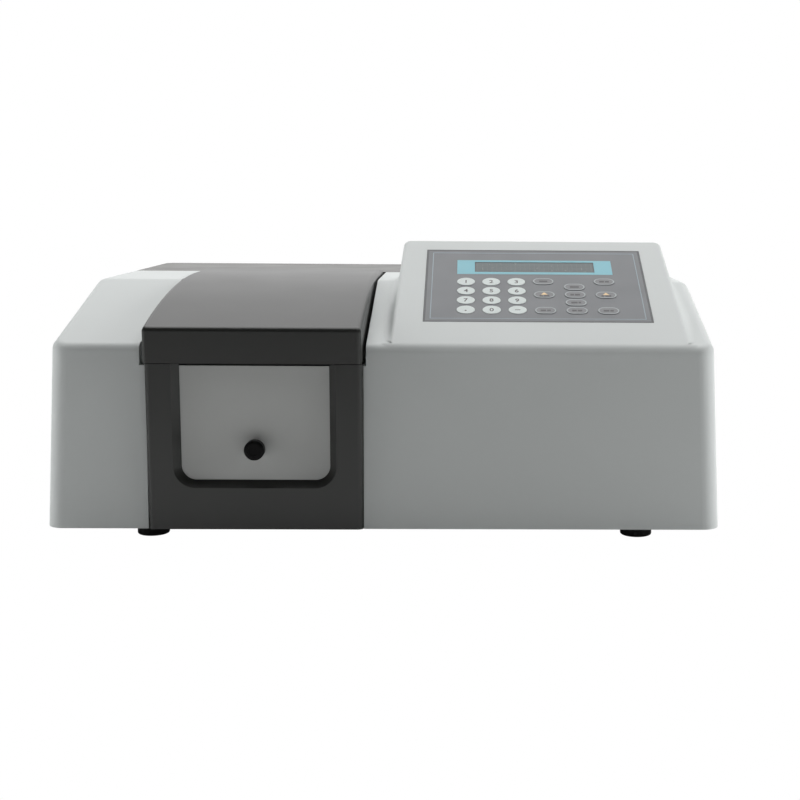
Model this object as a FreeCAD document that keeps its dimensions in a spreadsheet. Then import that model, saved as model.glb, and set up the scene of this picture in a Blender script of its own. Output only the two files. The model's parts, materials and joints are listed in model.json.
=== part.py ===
import FreeCAD
import Part
import math
import os
import re
import Sketcher
from FreeCAD import Vector

# Bench spectrophotometer. Millimetres, X to the right, Y to the back, Z up.
# Each piece is drawn with Y counted from the front bottom edge of the housing.

SIZES = {
    # Housing
    "body_width": 480,
    "body_depth": 366,
    "foot_height": 11,
    "front_height": 140.8,
    "top_height": 178.7,
    "slope_angle": 17,
    "draft": 2.6,
    "wall": 3,
    "corner_radius": 13,
    "edge_radius": 7,
    "blend_radius": 20,
    "hood_start": 232,
    "seam": 0.4,
    "fit": 0.3,
    "soft_edge": 2,
    # Console with the keypad
    "panel_tilt": 24.74,
    "console_gap": 15.1,
    "console_margin": 22.7,
    "console_back": 157,
    "console_draft": 4,
    "console_edge": 3.2,
    "console_corner": 6,
    "root_radius": 8,
    # Keypad
    "panel_start": 37.7,
    "overlay_left": 23.5,
    "overlay_right": 23.6,
    "overlay_length": 112.3,
    "overlay_thick": 0.8,
    "ledge": 5,
    "board_thick": 1.6,
    "board_clear": 1,
    "dome_rise": 0.9,
    "dome_radius": 3,
    "dome_sink": 0.1,
    "foot_thick": 0.6,
    "foot_rim": 0.8,
    "key_rise": 0.3,
    "key_clear": 0.15,
    "digit_length": 13.4,
    "digit_width": 11.5,
    "digit_x": -52.9,
    "digit_y": 17.3,
    "digit_pitch_x": 19.1,
    "digit_pitch_y": 14.25,
    "menu_length": 15.8,
    "menu_width": 9.7,
    "menu_x": 5.85,
    "menu_pitch_x": 23.2,
    "menu_low": 16.8,
    "menu_middle": 40.4,
    "menu_high": 61,
    "menu_pitch_y": 11.9,
    "screen_length": 92,
    "screen_width": 15.8,
    "screen_y": 84,
    "screen_rim": 5,
    # Lid over the sample chamber
    "recess_left": -171,
    "recess_right": -12.6,
    "deck_height": 127,
    "lid_left_gap": 5,
    "lid_right_gap": 2.2,
    "lid_clear": 3,
    "lid_front": -8,
    "lip_rise": 24.8,
    "lid_proud": 2.8,
    "crown_end": 175,
    "lid_edge": 3.7,
    "barrel_radius": 7.5,
    "barrel_gap": 0.8,
    "barrel_clear": 2,
    "pin_radius": 2.5,
    "running_fit": 0.1,
    "pin_inset": 0.5,
    "bracket_thick": 6,
    "bracket_inset": 4,
    "arm_front": 26,
    "arm_heel": 12,
    "arm_toe": 20,
    "arm_low": 16.3,
    "arm_high": 15.8,
    "arm_half": 2.1,
    "eye_radius": 4.2,
    "rib": 2.5,
    "rib_gap": 2,
    # Front frame, front plate, rod and knob
    "frame_left_gap": 4.6,
    "frame_right_gap": 2.1,
    "frame_front": -2,
    "frame_rise": 1.8,
    "frame_thick": 5.7,
    "frame_edge": 4,
    "frame_band": 23.5,
    "frame_foot": 34.7,
    "frame_bevel": 41,
    "opening_radius": 10,
    "plate_thick": 2,
    "knob_reach": 10,
    "knob_radius": 7.1,
    "knob_head": 7,
    "knob_neck": 4.8,
    "dish_rim": 3.2,
    "dish_depth": 0.8,
    "knob_stand": 2.4,
    "rod_height": 69.1,
    "rod_radius": 3,
    # Sample chamber and cell carriage
    "chamber_left_gap": 24,
    "chamber_right_gap": 20.2,
    "chamber_back": 172,
    "chamber_floor": 44,
    "flange": 6,
    "flange_thick": 1.5,
    "seal_thick": 1.2,
    "seal_inset": 0.5,
    "beam_y": 89,
    "beam_height": 85,
    "window_radius": 7,
    "window_lip": 1.5,
    "window_thick": 1.5,
    "cell_size": 12.8,
    "cell_pitch": 22,
    "cell_depth": 44,
    "carriage_width": 28,
    "carriage_top": 112,
    "carriage_bottom": 50,
    "carriage_margin": 11,
    "rail_width": 16,
    "slit_radius": 3,
    "slit_half": 9,
    # Base and feet
    "base_thick": 2,
    "base_clear": 1,
    "foot_radius": 11.5,
    "foot_left_inset": 69.4,
    "foot_right_inset": 57,
    "foot_front": 31.3,
    "foot_back_inset": 36,
    "sole_round": 1.2,
    # Optics
    "bench_floor": 55,
    "bench_wall": 5,
    "bench_clear": 6,
    "bench_front": 35,
    "bench_back": 150,
    "mono_gap": 5.8,
    "mono_width": 164,
    "lamp_gap": 6,
    "side_gap": 18,
    "leg_radius": 6,
    "detector_gap": 6,
    "detector_depth": 70,
    "grating_inset": 36,
    "grating_y": 112,
    "grating_width": 30,
    "table_radius": 16,
    "table_axle": 4,
    "table_thick": 5,
    "grating_half": 4,
    "optic_lift": 12,
    "mirror_radius": 17,
    "mirror_place": 48,
    "mirror_thick": 9,
    "mirror_clear": 2,
    "mirror_base": 12,
    "mirror_core": 8,
    "mirror_bend": 51,
    "motor_size": 35,
    "motor_length": 30,
    "motor_half": 14,
    "case_edge": 3,
    "eye_depth": 12,
    "wheel_radius": 22,
    "wheel_place": 12,
    "wheel_drop": 16,
    "wheel_thick": 3,
    "axle_radius": 2,
    "shaft_gap": 0.5,
    "post_start": 4,
    "post_end": 12,
    "post_half": 9,
    "filter_count": 6,
    "filter_radius": 5.5,
    "filter_ring": 16,
    "lamp_radius": 12,
    "tungsten_radius": 6,
    "tip_flat": 0.5,
    "tungsten_inset": 26,
    "tungsten_place": 22,
    "tungsten_base": 16,
    "tungsten_bulb": 26,
    "deuterium_rim": 3,
    "deuterium_inset": 28,
    "deuterium_place": 24,
    "deuterium_base": 12,
    "deuterium_bulb": 42,
    "selector_place": 26,
    "source_shift": 6,
    "selector_axle": 3,
    "selector_disc": 9,
    "selector_thick": 3,
    "selector_half": 2,
    "selector_reach": 8,
    # Electronics and rear panel
    "panel_inset": 12,
    "panel_side": 190,
    "panel_low": 22,
    "panel_high": 150,
    "panel_thick": 2,
    "slot_count": 9,
    "slot_pitch": 8,
    "slot_half": 1.9,
    "slot_rim": 3,
    "vent_left": -158,
    "vent_count": 8,
    "vent_pitch": 12,
    "vent_low": 45,
    "vent_high": 20,
    "fan_size": 80,
    "fan_thick": 25,
    "fan_x": 130,
    "fan_height": 78,
    "fan_corner": 5,
    "duct_wall": 2,
    "strut_half": 3,
    "strut_thick": 3,
    "boss_thick": 4,
    "axle_reach": 18,
    "hub_radius": 17,
    "hub_gap": 1,
    "blade_count": 7,
    "blade_thick": 1.6,
    "blade_span": 16,
    "blade_root": 3,
    "blade_gap": 7.5,
    "blade_shift": 3,
    "blade_twist": 30,
    "supply_left": -200,
    "supply_back": 28,
    "supply_width": 110,
    "supply_height": 62,
    "board_left": -70,
    "board_front": 18,
    "board_back": 22,
    "post_inset": 6,
    "post_radius": 3,
    "chip_start": 20,
    "chip_pitch": 34,
    "chip_size": 20,
    "chip_place": 40,
    "chip_depth": 18,
    "chip_rise": 3,
    "board_width": 130,
    "standoff": 8,
    "inlet_x": -150,
    "inlet_width": 27.5,
    "inlet_high": 20,
    "inlet_rim": 5,
    "inlet_lip": 3,
    "inlet_corner": 2.5,
    "inlet_depth": 20,
    "inlet_floor": 17,
    "inlet_wall": 2,
    "snug": 0.2,
    "contact_spread": 7,
    "contact_offset": 2,
    "contact_width": 2,
    "contact_height": 4,
    "contact_recess": 4,
    "service_height": 60,
    "switch_x": -105,
    "switch_width": 13.4,
    "switch_high": 19.4,
    "bezel_rim": 1.5,
    "bezel_depth": 16,
    "bezel_wall": 1.2,
    "bezel_floor": 9,
    "rocker_depth": 3,
    "rocker_front": 5.5,
    "rocker_side": 1.5,
    "rocker_end": 2.2,
    "rocker_bend": 30,
    "rocker_hollow": 33.6,
    "rocker_angle": 8,
    "port_x": -40,
    "port_width": 31,
    "port_high": 12.6,
    "port_rim": 1,
    "port_wall": 1,
    "port_step": 2.1,
    "port_mouth": 18,
    "port_slant": 1.4,
    "port_reach": 6,
    "port_depth": 10,
    "port_pin": 0.6,
    "port_pitch": 2.8,
    "screw_radius": 3,
    "screw_side": 8,
    "screw_edge": 6,
    "screw_head": 2,
}

doc = FreeCAD.newDocument("spectrophotometer")
sizes = doc.addObject("Spreadsheet::Sheet", "sizes")
places = doc.addObject("Spreadsheet::Sheet", "places")
HOME = {}
for row, (name, amount) in enumerate(SIZES.items(), 1):
    sizes.set(f"A{row}", name)
    sizes.set(f"B{row}", str(amount))
    sizes.setAlias(f"B{row}", name)
    HOME[name] = "sizes."


def linked(formula):
    """The formula with each named value pointed at its own sheet."""
    return re.sub(r"[a-z_][a-z_0-9]*", lambda word: HOME.get(word.group(), "") + word.group(), str(formula))


def derived(name, formula):
    """One worked out value, a formula in the sheet of places."""
    row = sum(1 for home in HOME.values() if home == "places.") + 1
    places.set(f"A{row}", name)
    places.set(f"B{row}", "=" + linked(formula))
    places.setAlias(f"B{row}", name)
    HOME[name] = "places."


def value(formula):
    """The number that a formula gives now."""
    result = places.evalExpression(linked(formula))
    return float(getattr(result, "Value", result))


doc.recompute()

derived("lid_height", "top_height + lid_proud")
derived("lid_left", "recess_left + lid_left_gap")
derived("lid_right", "recess_right - lid_right_gap")
derived("lid_bottom", "deck_height + lid_clear")
derived("lip_height", "lid_bottom + lip_rise")
derived("frame_left", "recess_left + frame_left_gap")
derived("frame_right", "recess_right - frame_right_gap")
derived("frame_top", "deck_height + frame_rise")
derived("chamber_left", "recess_left + chamber_left_gap")
derived("chamber_right", "recess_right - chamber_right_gap")
derived("console_left", "recess_right + console_gap")
derived("console_right", "body_width / 2 - console_margin")
derived("overlay_width", "console_right - console_left - overlay_left - overlay_right")
derived("panel_x", "console_left + overlay_left + overlay_width / 2")
derived("foot_left", "foot_left_inset - body_width / 2")
derived("foot_right", "body_width / 2 - foot_right_inset")
derived("foot_back", "body_depth - foot_back_inset")
derived("bench_top", "deck_height - wall - bench_clear")
derived("mono_left", "chamber_right + wall + mono_gap")
derived("mono_right", "mono_left + mono_width")
derived("lamp_left", "mono_right + lamp_gap")
derived("lamp_right", "body_width / 2 - side_gap")
derived("detector_left", "side_gap - body_width / 2")
derived("detector_right", "chamber_left - wall - detector_gap")
derived("grating_x", "mono_right - grating_inset")
derived("mirror_x", "mono_left + mirror_place")
derived("wheel_x", "mono_left + wheel_place")
derived("selector_x", "lamp_left + selector_place")
# How far a cut runs past the face that it opens
derived("past", "1")
derived("front_y", "-(body_depth - knob_reach) / 2")
derived("front_edge_y", "(front_height - foot_height) * tan(draft * 1deg)")
derived("slope_end", "front_edge_y + (top_height - front_height) / tan(slope_angle * 1deg)")
derived("panel_z", "front_height + (panel_start - front_edge_y) * tan(panel_tilt * 1deg)")
derived("console_height", "front_height + (console_back - front_edge_y) * tan(panel_tilt * 1deg)")
derived("console_floor", "front_height / 2")
derived("brow_run", "edge_radius * tan((90 - draft - slope_angle) / 2 * 1deg)")
derived("console_brow", "brow_run / tan((90 - draft - panel_tilt) / 2 * 1deg)")
derived("base_top", "foot_height + base_thick")
derived("hinge_y", "hood_start + seam - barrel_gap - barrel_radius")
derived("hinge_z", "lid_height - barrel_radius")
derived("plate_front", "frame_front + frame_thick + fit")
derived("plate_back", "plate_front + plate_thick")
derived("chamber_front", "plate_back + fit")
derived("frame_back", "plate_back + 3 * fit + wall")
derived("rod_x", "(chamber_left + chamber_right) / 2")
derived("carriage_front", "beam_y - carriage_margin")
derived("carriage_back", "beam_y + 3 * cell_pitch + carriage_margin")
derived("panel_y", "body_depth - panel_inset")
derived("flange_top", "deck_height + flange_thick")
derived("wheel_y", "beam_y - wheel_drop")
derived("selector_y", "beam_y + source_shift")
doc.recompute()


def spot(x, y, z, axis="0;0;1", angle="0"):
    """Placement text for a point and a turn about an axis."""
    return linked(f"placement(vector({x};{y};{z});rotation(vector({axis});{angle}))")


def body(label, x="0", y="front_y", z="0", axis="1;0;0", angle="0"):
    """A new piece, by default in the housing's own frame."""
    piece = doc.addObject("PartDesign::Body", label)
    piece.Label = label
    piece.setExpression("Placement", spot(x, y, z, axis, angle))
    return piece


def kind(name, take):
    """The feature type that adds a form, or takes it away."""
    return "PartDesign::" + ("Subtractive" if take else "Additive") + name


def block(piece, name, x, y, z, take=False):
    """A block between two corners, added to the piece or taken from it."""
    solid = piece.newObject(kind("Box", take), name)
    for side, span in (("Length", x), ("Width", y), ("Height", z)):
        solid.setExpression(side, linked(f"({span[1]}) - ({span[0]})"))
    solid.setExpression("Placement", spot(x[0], y[0], z[0]))
    doc.recompute()
    return solid


TURN = {"x": ("0;1;0", "90"), "y": ("1;0;0", "-90"), "z": ("0;0;1", "0")}


def drum(piece, name, radius, start, length, axis="z", take=False):
    """A round bar along one axis, added or taken."""
    solid = piece.newObject(kind("Cylinder", take), name)
    solid.setExpression("Radius", linked(radius))
    solid.setExpression("Height", linked(length))
    solid.setExpression("Placement", spot(*start, *TURN[axis]))
    doc.recompute()
    return solid


def cone(piece, name, low, high, start, length, axis="z", take=False):
    """A tapered round piece, from its low radius to its high one."""
    solid = piece.newObject(kind("Cone", take), name)
    solid.setExpression("Radius1", linked(low))
    solid.setExpression("Radius2", linked(high))
    solid.setExpression("Height", linked(length))
    solid.setExpression("Placement", spot(*start, *TURN[axis]))
    doc.recompute()
    return solid


def rounded(piece, name, radius, chosen):
    """Rounds the edges of the piece that the test picks."""
    base = piece.Tip
    edges = [f"Edge{i}" for i, edge in enumerate(base.Shape.Edges, 1) if chosen(edge)]
    fillet = piece.newObject("PartDesign::Fillet", name)
    fillet.Base = (base, edges)
    fillet.setExpression("Radius", linked(radius))
    piece.Tip = fillet
    doc.recompute()
    return fillet


def plane(piece, role):
    """One of the three planes of the piece's own origin."""
    return [part for part in piece.Origin.OriginFeatures if part.Role == role][0]


def outline(piece, name, role, offset, points):
    """A closed sketch. A point with a third value starts an arc of that radius, bulging left if negative."""
    sketch = piece.newObject("Sketcher::SketchObject", name)
    sketch.AttachmentSupport = [(plane(piece, role), "")]
    sketch.MapMode = "FlatFace"
    sketch.setExpression("AttachmentOffset.Base.z", linked(offset))
    spots = [Vector(value(point[0]), value(point[1]), 0) for point in points]
    for i, point in enumerate(points):
        start = spots[i]
        end = spots[(i + 1) % len(points)]
        if len(point) == 2:
            sketch.addGeometry(Part.LineSegment(start, end), False)
            continue
        radius = value(point[2])
        chord = end - start
        side = Vector(-chord.y, chord.x, 0).normalize()
        sag = abs(radius) - math.sqrt(radius ** 2 - chord.Length ** 2 / 4)
        middle = (start + end) / 2 - side * math.copysign(sag, radius)
        sketch.addGeometry(Part.Arc(start, middle, end).copy(), False)
    arcs_start = {}
    for i, point in enumerate(points):
        edge = sketch.Geometry[i]
        first = 1
        if len(point) == 3 and (edge.StartPoint - spots[i]).Length > (edge.EndPoint - spots[i]).Length:
            first = 2
        arcs_start[i] = first
    for i, point in enumerate(points):
        follower = (i + 1) % len(points)
        sketch.addConstraint(Sketcher.Constraint("Coincident", i, 3 - arcs_start[i], follower,
                                                 arcs_start[follower]))
    for i, point in enumerate(points):
        for direction, text, number in (("DistanceX", point[0], spots[i].x),
                                        ("DistanceY", point[1], spots[i].y)):
            rule = Sketcher.Constraint(direction, -1, 1, i, arcs_start[i], number)
            sketch.setExpression(f"Constraints[{sketch.addConstraint(rule)}]", linked(text))
        if len(point) == 3:
            rule = Sketcher.Constraint("Radius", i, abs(value(point[2])))
            sketch.setExpression(f"Constraints[{sketch.addConstraint(rule)}]", linked(f"abs({point[2]})"))
    doc.recompute()
    return sketch


def pad(piece, name, sketch, length, taper="0", take=False):
    """Extrudes a sketch along its plane's normal, added or taken."""
    feature = piece.newObject("PartDesign::Pocket" if take else "PartDesign::Pad", name)
    feature.Profile = sketch
    feature.Reversed = take
    feature.setExpression("Length", linked(length))
    feature.setExpression("TaperAngle", linked(taper))
    doc.recompute()
    return feature


def combine(piece, name, other, how):
    """Joins another body to the piece, or cuts or keeps its space."""
    feature = piece.newObject("PartDesign::Boolean", name)
    feature.setObjects([other])
    feature.Type = how
    piece.Tip = feature
    doc.recompute()
    return feature


def upright(edge):
    """An edge that runs nearly straight up."""
    low, high = sorted((v.Z for v in edge.Vertexes)) if len(edge.Vertexes) == 2 else (0, 0)
    return high - low > 0.9 * edge.Length and edge.Length > 1


def near(number, target, margin=0.05):
    """Whether a number lies close to a target."""
    return abs(number - target) < margin


NEAR = "-50"
FAR = "body_depth + 50"
HIGH = "top_height + 100"
PEAK = "top_height + body_depth"


def drafted_block(piece, inset):
    """The housing's drafted form, set in from the outside by an inset."""
    left = f"-body_width / 2 + {inset}"
    right = f"body_width / 2 - {inset}"
    floor = outline(piece, piece.Label + "_footprint", "XY_Plane", "foot_height", [
        (left, f"{inset}"), (right, f"{inset}"),
        (right, f"body_depth - {inset}"), (left, f"body_depth - {inset}")])
    pad(piece, piece.Label + "_block", floor, "top_height - foot_height + blend_radius", "-draft")
    rounded(piece, piece.Label + "_corners", f"corner_radius - {inset}", upright)
    slope = "tan(slope_angle * 1deg)"
    drop = f"{inset} / cos(slope_angle * 1deg)"
    start = f"front_height - {drop} - (front_edge_y - {NEAR}) * {slope}"
    knee = f"front_edge_y + (top_height - {inset} - front_height + {drop}) / {slope}"
    above = outline(piece, piece.Label + "_above", "YZ_Plane", "-body_width", [
        (NEAR, start), (knee, f"top_height - {inset}"), (FAR, f"top_height - {inset}"), (FAR, HIGH),
        (NEAR, HIGH)])
    pad(piece, piece.Label + "_slope", above, "body_width * 2", take=True)


def along_x(edge):
    """An edge that crosses most of the housing's width."""
    return edge.BoundBox.XLength > value("body_width") * 0.8


def knee_edge(edge):
    """The bend between the slope and the flat top."""
    return along_x(edge) and near(edge.BoundBox.YMin, value("slope_end"), 1)


def top_outline(edge):
    """Edges round the slope and the flat top of the housing."""
    box = edge.BoundBox
    inside = box.YMin > value("front_edge_y") + 5 and box.YMax < value("body_depth") - 20
    return box.ZMin > value("front_height") - 1 and not (along_x(edge) and inside)


def console_block(piece, inset):
    """The wedge that carries the keypad, with drafted walls and a rounded front."""
    lean = "tan(console_draft * 1deg)"
    spread = f"(front_height - console_floor) * {lean} - {inset}"
    back = f"console_back + (console_height - console_floor) * {lean} - {inset}"
    left, right = f"console_left - ({spread})", f"console_right + {spread}"
    floor = outline(piece, piece.Label + "_floor", "XY_Plane", "console_floor",
                    [(left, NEAR), (right, NEAR), (right, back), (left, back)])
    pad(piece, piece.Label + "_block", floor, "console_height", "-console_draft")
    rounded(piece, piece.Label + "_corners", f"console_corner - {inset} / 2",
            lambda edge: upright(edge) and edge.BoundBox.YMax > value("console_back") - 5)
    above = outline(piece, piece.Label + "_above", "YZ_Plane", "-body_width", [
        (NEAR, f"{corner_height(inset)} - ({inset} + front_edge_y - {NEAR}) * tan(panel_tilt * 1deg)"),
        (FAR, f"{corner_height(inset)} + ({FAR} - front_edge_y - {inset}) * tan(panel_tilt * 1deg)"),
        (FAR, PEAK), (NEAR, PEAK)])
    pad(piece, piece.Label + "_slope", above, "body_width * 2", take=True)


def corner_height(inset):
    """Height at which the plane of the keypad meets the front wall."""
    return f"(front_height - {inset} / cos(panel_tilt * 1deg) + {inset} * tan(panel_tilt * 1deg))"


def console_front(piece, inset):
    """Cuts the wedge along the drafted front wall and rounds it into the plane of the keypad."""
    front = f"front_edge_y + {inset}"
    corner = corner_height(inset)
    bend = f"{front} + brow_run * cos(panel_tilt * 1deg)"
    before = outline(piece, piece.Label + "_before", "YZ_Plane", "-body_width", [
        (f"{front} - ({corner} - console_floor) * tan(draft * 1deg)", "console_floor"),
        (f"{front} - brow_run * sin(draft * 1deg)", f"{corner} - brow_run * cos(draft * 1deg)",
         "-console_brow"),
        (bend, f"{corner} + brow_run * sin(panel_tilt * 1deg)"), (bend, PEAK),
        (NEAR, PEAK), (NEAR, "console_floor")])
    pad(piece, piece.Label + "_front", before, "body_width * 2", take=True)


def console_side(edge):
    """The two long edges beside the keypad, with the short curves at their ends."""
    box = edge.BoundBox
    high = box.ZMax > value("console_height") - 6
    return high and box.YLength > 3 and box.XLength < 12 and not upright(edge)


def console_foot(edge):
    """The line where the rear wall of the console meets the flat top."""
    box = edge.BoundBox
    wide = (value("console_right") - value("console_left")) / 2
    return box.XLength > wide and near(box.ZMin, value("top_height")) and near(box.ZMax, value("top_height"))\
        and near(box.YMin, value("console_back"), 8)


def lid_profile(inset):
    """The lid's side view: front lip, long crown, and round rear edge."""
    drop = "(lid_height - lip_height)"
    run = "(crown_end - lid_front)"
    crown = f"({run} * {run} + {drop} * {drop}) / (2 * {drop})"
    if not inset:
        return [("lid_front", "lid_bottom"), ("hinge_y + barrel_radius / 2", "lid_bottom"),
                ("hinge_y + barrel_radius / 2", "hinge_z - barrel_radius * sin(60deg)", "barrel_radius"),
                ("hinge_y + barrel_radius", "hinge_z", "barrel_radius"), ("hinge_y", "lid_height"),
                ("crown_end", "lid_height", crown), ("lid_front", "lip_height")]
    return [("lid_front + wall", "lid_bottom - past"),
            ("hinge_y + barrel_radius + past", "lid_bottom - past"),
            ("hinge_y + barrel_radius + past", "hinge_z"),
            ("hinge_y + barrel_radius - wall", "hinge_z", "barrel_radius - wall"),
            ("hinge_y", "lid_height - wall"),
            ("crown_end", "lid_height - wall", crown), ("lid_front + wall", "lip_height - wall")]


def lid_corner(edge):
    """The two upright edges at the lid's front."""
    return upright(edge) and near(edge.BoundBox.YMax, value("lid_front"))


def lid_crown(edge):
    """The two long edges beside the lid's crown."""
    box = edge.BoundBox
    high = box.ZMin > value("lip_height") - 1 and box.YMax < value("hinge_y") + 1
    return high and box.YLength > 10 and box.XLength < 1


# Upper housing
cavity = body("housing_cavity", y="0")
drafted_block(cavity, "wall")
console_cavity = body("console_cavity", y="0")
console_block(console_cavity, "wall")
console_front(console_cavity, "wall")
combine(cavity, "cavity_with_console", console_cavity, "Fuse")
block(cavity, "recess_walls", ("recess_left - wall", "recess_right + wall"), (NEAR, "hood_start"),
      ("deck_height - wall", HIGH), take=True)

console = body("console", y="0")
console_block(console, "0")
rounded(console, "console_sides", "console_edge", console_side)
console_front(console, "0")

upper_housing = body("upper_housing")
drafted_block(upper_housing, "0")
rounded(upper_housing, "knee", "blend_radius", knee_edge)
rounded(upper_housing, "brow", "edge_radius", top_outline)
combine(upper_housing, "with_console", console, "Fuse")
rounded(upper_housing, "console_root", "root_radius", console_foot)
combine(upper_housing, "hollow", cavity, "Cut")
block(upper_housing, "behind", ("-body_width", "body_width"), ("hood_start", FAR), ("0", HIGH), take=True)
block(upper_housing, "lid_recess", ("recess_left", "recess_right"), (NEAR, "hood_start - wall"),
      ("deck_height", HIGH), take=True)
block(upper_housing, "recess_back", ("recess_left", "recess_right"), ("hood_start - wall - past", FAR),
      ("hinge_z - barrel_radius - barrel_clear", HIGH), take=True)
block(upper_housing, "frame_slot", ("frame_left - fit", "frame_right + fit"), (NEAR, "frame_back + fit"),
      ("0", "deck_height + past"), take=True)
block(upper_housing, "chamber_mouth", ("chamber_left - wall - fit", "chamber_right + wall + fit"),
      ("0", "chamber_back + wall + fit"), ("deck_height - wall - past", "deck_height + past"), take=True)


def panel_body(label):
    """A piece drawn on the keypad's plane: X across, Y up the slope, Z out of it."""
    return body(label, "panel_x", "front_y + panel_start", "panel_z", "1;0;0", "panel_tilt")


def on_panel(shape):
    """Lays a shape that was drawn flat on the keypad's plane."""
    shape.setExpression("Placement", spot("panel_x", "front_y + panel_start", "panel_z", "1;0;0",
                                          "panel_tilt"))


# Keypad seat and the opening behind it, cut in the console
seat = body("keypad_seat", "panel_x", "panel_start", "panel_z", "1;0;0", "panel_tilt")
block(seat, "seat", ("-overlay_width / 2 - key_clear", "overlay_width / 2 + key_clear"),
      ("-key_clear", "overlay_length + key_clear"), ("-overlay_thick", HIGH))
block(seat, "window", ("-overlay_width / 2 + ledge", "overlay_width / 2 - ledge"),
      ("ledge", "overlay_length - ledge"), ("-wall - ledge", "0"))
combine(upper_housing, "with_seat", seat, "Cut")

# Rear hood
hood_cavity = body("hood_cavity", y="0")
drafted_block(hood_cavity, "wall")
block(hood_cavity, "hood_web", ("recess_left - wall", "recess_right + wall"),
      ("0", "hood_start + seam + wall"),
      ("deck_height - wall", HIGH), take=True)
block(hood_cavity, "hood_rear", ("-body_width", "body_width"), ("panel_y", FAR), ("0", HIGH), take=True)
rear_hood = body("rear_hood")
drafted_block(rear_hood, "0")
rounded(rear_hood, "hood_brow", "edge_radius", top_outline)
combine(rear_hood, "hood_hollow", hood_cavity, "Cut")
block(rear_hood, "hood_split", ("-body_width", "body_width"), (NEAR, "hood_start + seam"), ("0", HIGH),
      take=True)
block(rear_hood, "panel_window", ("-panel_side + ledge", "panel_side - ledge"), ("panel_y - past", FAR),
      ("panel_low + ledge", "panel_high - ledge"), take=True)

# Base plate and feet
base_plate = body("base_plate")
block(base_plate, "sheet", ("-body_width / 2 + wall + fit + base_clear",
                            "body_width / 2 - wall - fit - base_clear"),
      ("frame_back + fit", "body_depth - panel_inset"), ("foot_height", "base_top"))
rounded(base_plate, "sheet_corners", "corner_radius - wall", upright)
block(base_plate, "tongue", ("frame_left + wall + fit", "frame_right - wall - fit"),
      ("chamber_front", "frame_back + wall"), ("foot_height", "base_top"))

rubber_feet = body("rubber_feet")
for i, (x, y) in enumerate((x, y) for x in ("foot_left", "foot_right") for y in ("foot_front", "foot_back")):
    drum(rubber_feet, f"foot_{i}", "foot_radius", (x, y, "0"), "foot_height")
rounded(rubber_feet, "foot_soles", "sole_round", lambda edge: near(edge.BoundBox.ZMax, 0))

# Front frame with its bevelled opening, and the plate behind it
front_frame = body("front_frame")
block(front_frame, "frame_block", ("frame_left", "frame_right"), ("frame_front", "frame_back"),
      ("foot_height", "frame_top"))
rounded(front_frame, "frame_edges", "frame_edge",
        lambda edge: near(edge.BoundBox.YMax, value("frame_front")) and near(edge.BoundBox.XLength, 0))
block(front_frame, "frame_tray", ("frame_left + wall", "frame_right - wall"), ("plate_front - fit", FAR),
      ("foot_height - past", HIGH), take=True)
frame_opening = body("frame_opening", y="0")
opening = outline(frame_opening, "opening_outline", "XZ_Plane", "-(plate_front - fit)", [
    ("frame_left + frame_band", "frame_foot + foot_height"),
    ("frame_right - frame_band", "frame_foot + foot_height"),
    ("frame_right - frame_band", HIGH), ("frame_left + frame_band", HIGH)])
pad(frame_opening, "opening_bevel", opening, "frame_thick + past", "frame_bevel")
rounded(frame_opening, "opening_corners", "opening_radius",
        lambda edge: edge.BoundBox.YLength > 5 and edge.BoundBox.ZMax < value("frame_top") and edge.BoundBox.XLength < 10)
combine(front_frame, "frame_with_opening", frame_opening, "Cut")

front_plate = body("front_plate")
block(front_plate, "plate", ("frame_left + wall + fit", "frame_right - wall - fit"),
      ("plate_front", "plate_back"),
      ("base_top + fit", "deck_height"))
drum(front_plate, "rod_hole", "rod_radius + running_fit", ("rod_x", "plate_front - past", "rod_height"),
     "plate_thick + 2 * past", "y", take=True)

# Sample chamber, its windows and the lid's seal
sample_chamber = body("sample_chamber")
block(sample_chamber, "chamber_box", ("chamber_left - wall", "chamber_right + wall"),
      ("chamber_front", "chamber_back + wall"), ("chamber_floor - wall", "deck_height + flange_thick"))
block(sample_chamber, "chamber_flange", ("chamber_left - wall - flange", "chamber_right + wall + flange"),
      ("chamber_front", "chamber_back + wall + flange"), ("deck_height", "flange_top"))
block(sample_chamber, "chamber_room", ("chamber_left", "chamber_right"),
      ("chamber_front + wall", "chamber_back"),
      ("chamber_floor", HIGH), take=True)
block(sample_chamber, "rail", ("rod_x - rail_width / 2", "rod_x + rail_width / 2"),
      ("chamber_front + wall - past", "chamber_back + past"),
      ("chamber_floor - past", "carriage_bottom - fit"))
drum(sample_chamber, "chamber_rod_hole", "rod_radius + running_fit",
     ("rod_x", "chamber_front - past", "rod_height"),
     "wall + 2 * past", "y", take=True)
for i, x in enumerate(("chamber_left - wall - past", "chamber_right - past")):
    drum(sample_chamber, f"beam_hole_{i}", "window_radius - window_lip", (x, "beam_y", "beam_height"),
         "wall + 2 * past", "x", take=True)
for i, x in enumerate(("chamber_left - window_thick", "chamber_right")):
    drum(sample_chamber, f"window_seat_{i}", "window_radius", (x, "beam_y", "beam_height"), "window_thick",
         "x", take=True)

chamber_windows = body("chamber_windows")
for i, x in enumerate(("chamber_left - window_thick", "chamber_right")):
    drum(chamber_windows, f"window_{i}", "window_radius", (x, "beam_y", "beam_height"), "window_thick", "x")

lid_seal = body("lid_seal")
block(lid_seal, "seal_ring", ("chamber_left - wall - flange + seal_inset",
                              "chamber_right + wall + flange - seal_inset"),
      ("chamber_front + seal_inset", "chamber_back + wall + flange - seal_inset"),
      ("flange_top", "flange_top + seal_thick"))
rounded(lid_seal, "seal_corners", "flange", upright)
block(lid_seal, "seal_hole", ("chamber_left - wall + seal_inset", "chamber_right + wall - seal_inset"),
      ("chamber_front + wall + 2 * seal_inset", "chamber_back + wall - seal_inset"),
      ("flange_top - past", HIGH), take=True)

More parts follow.
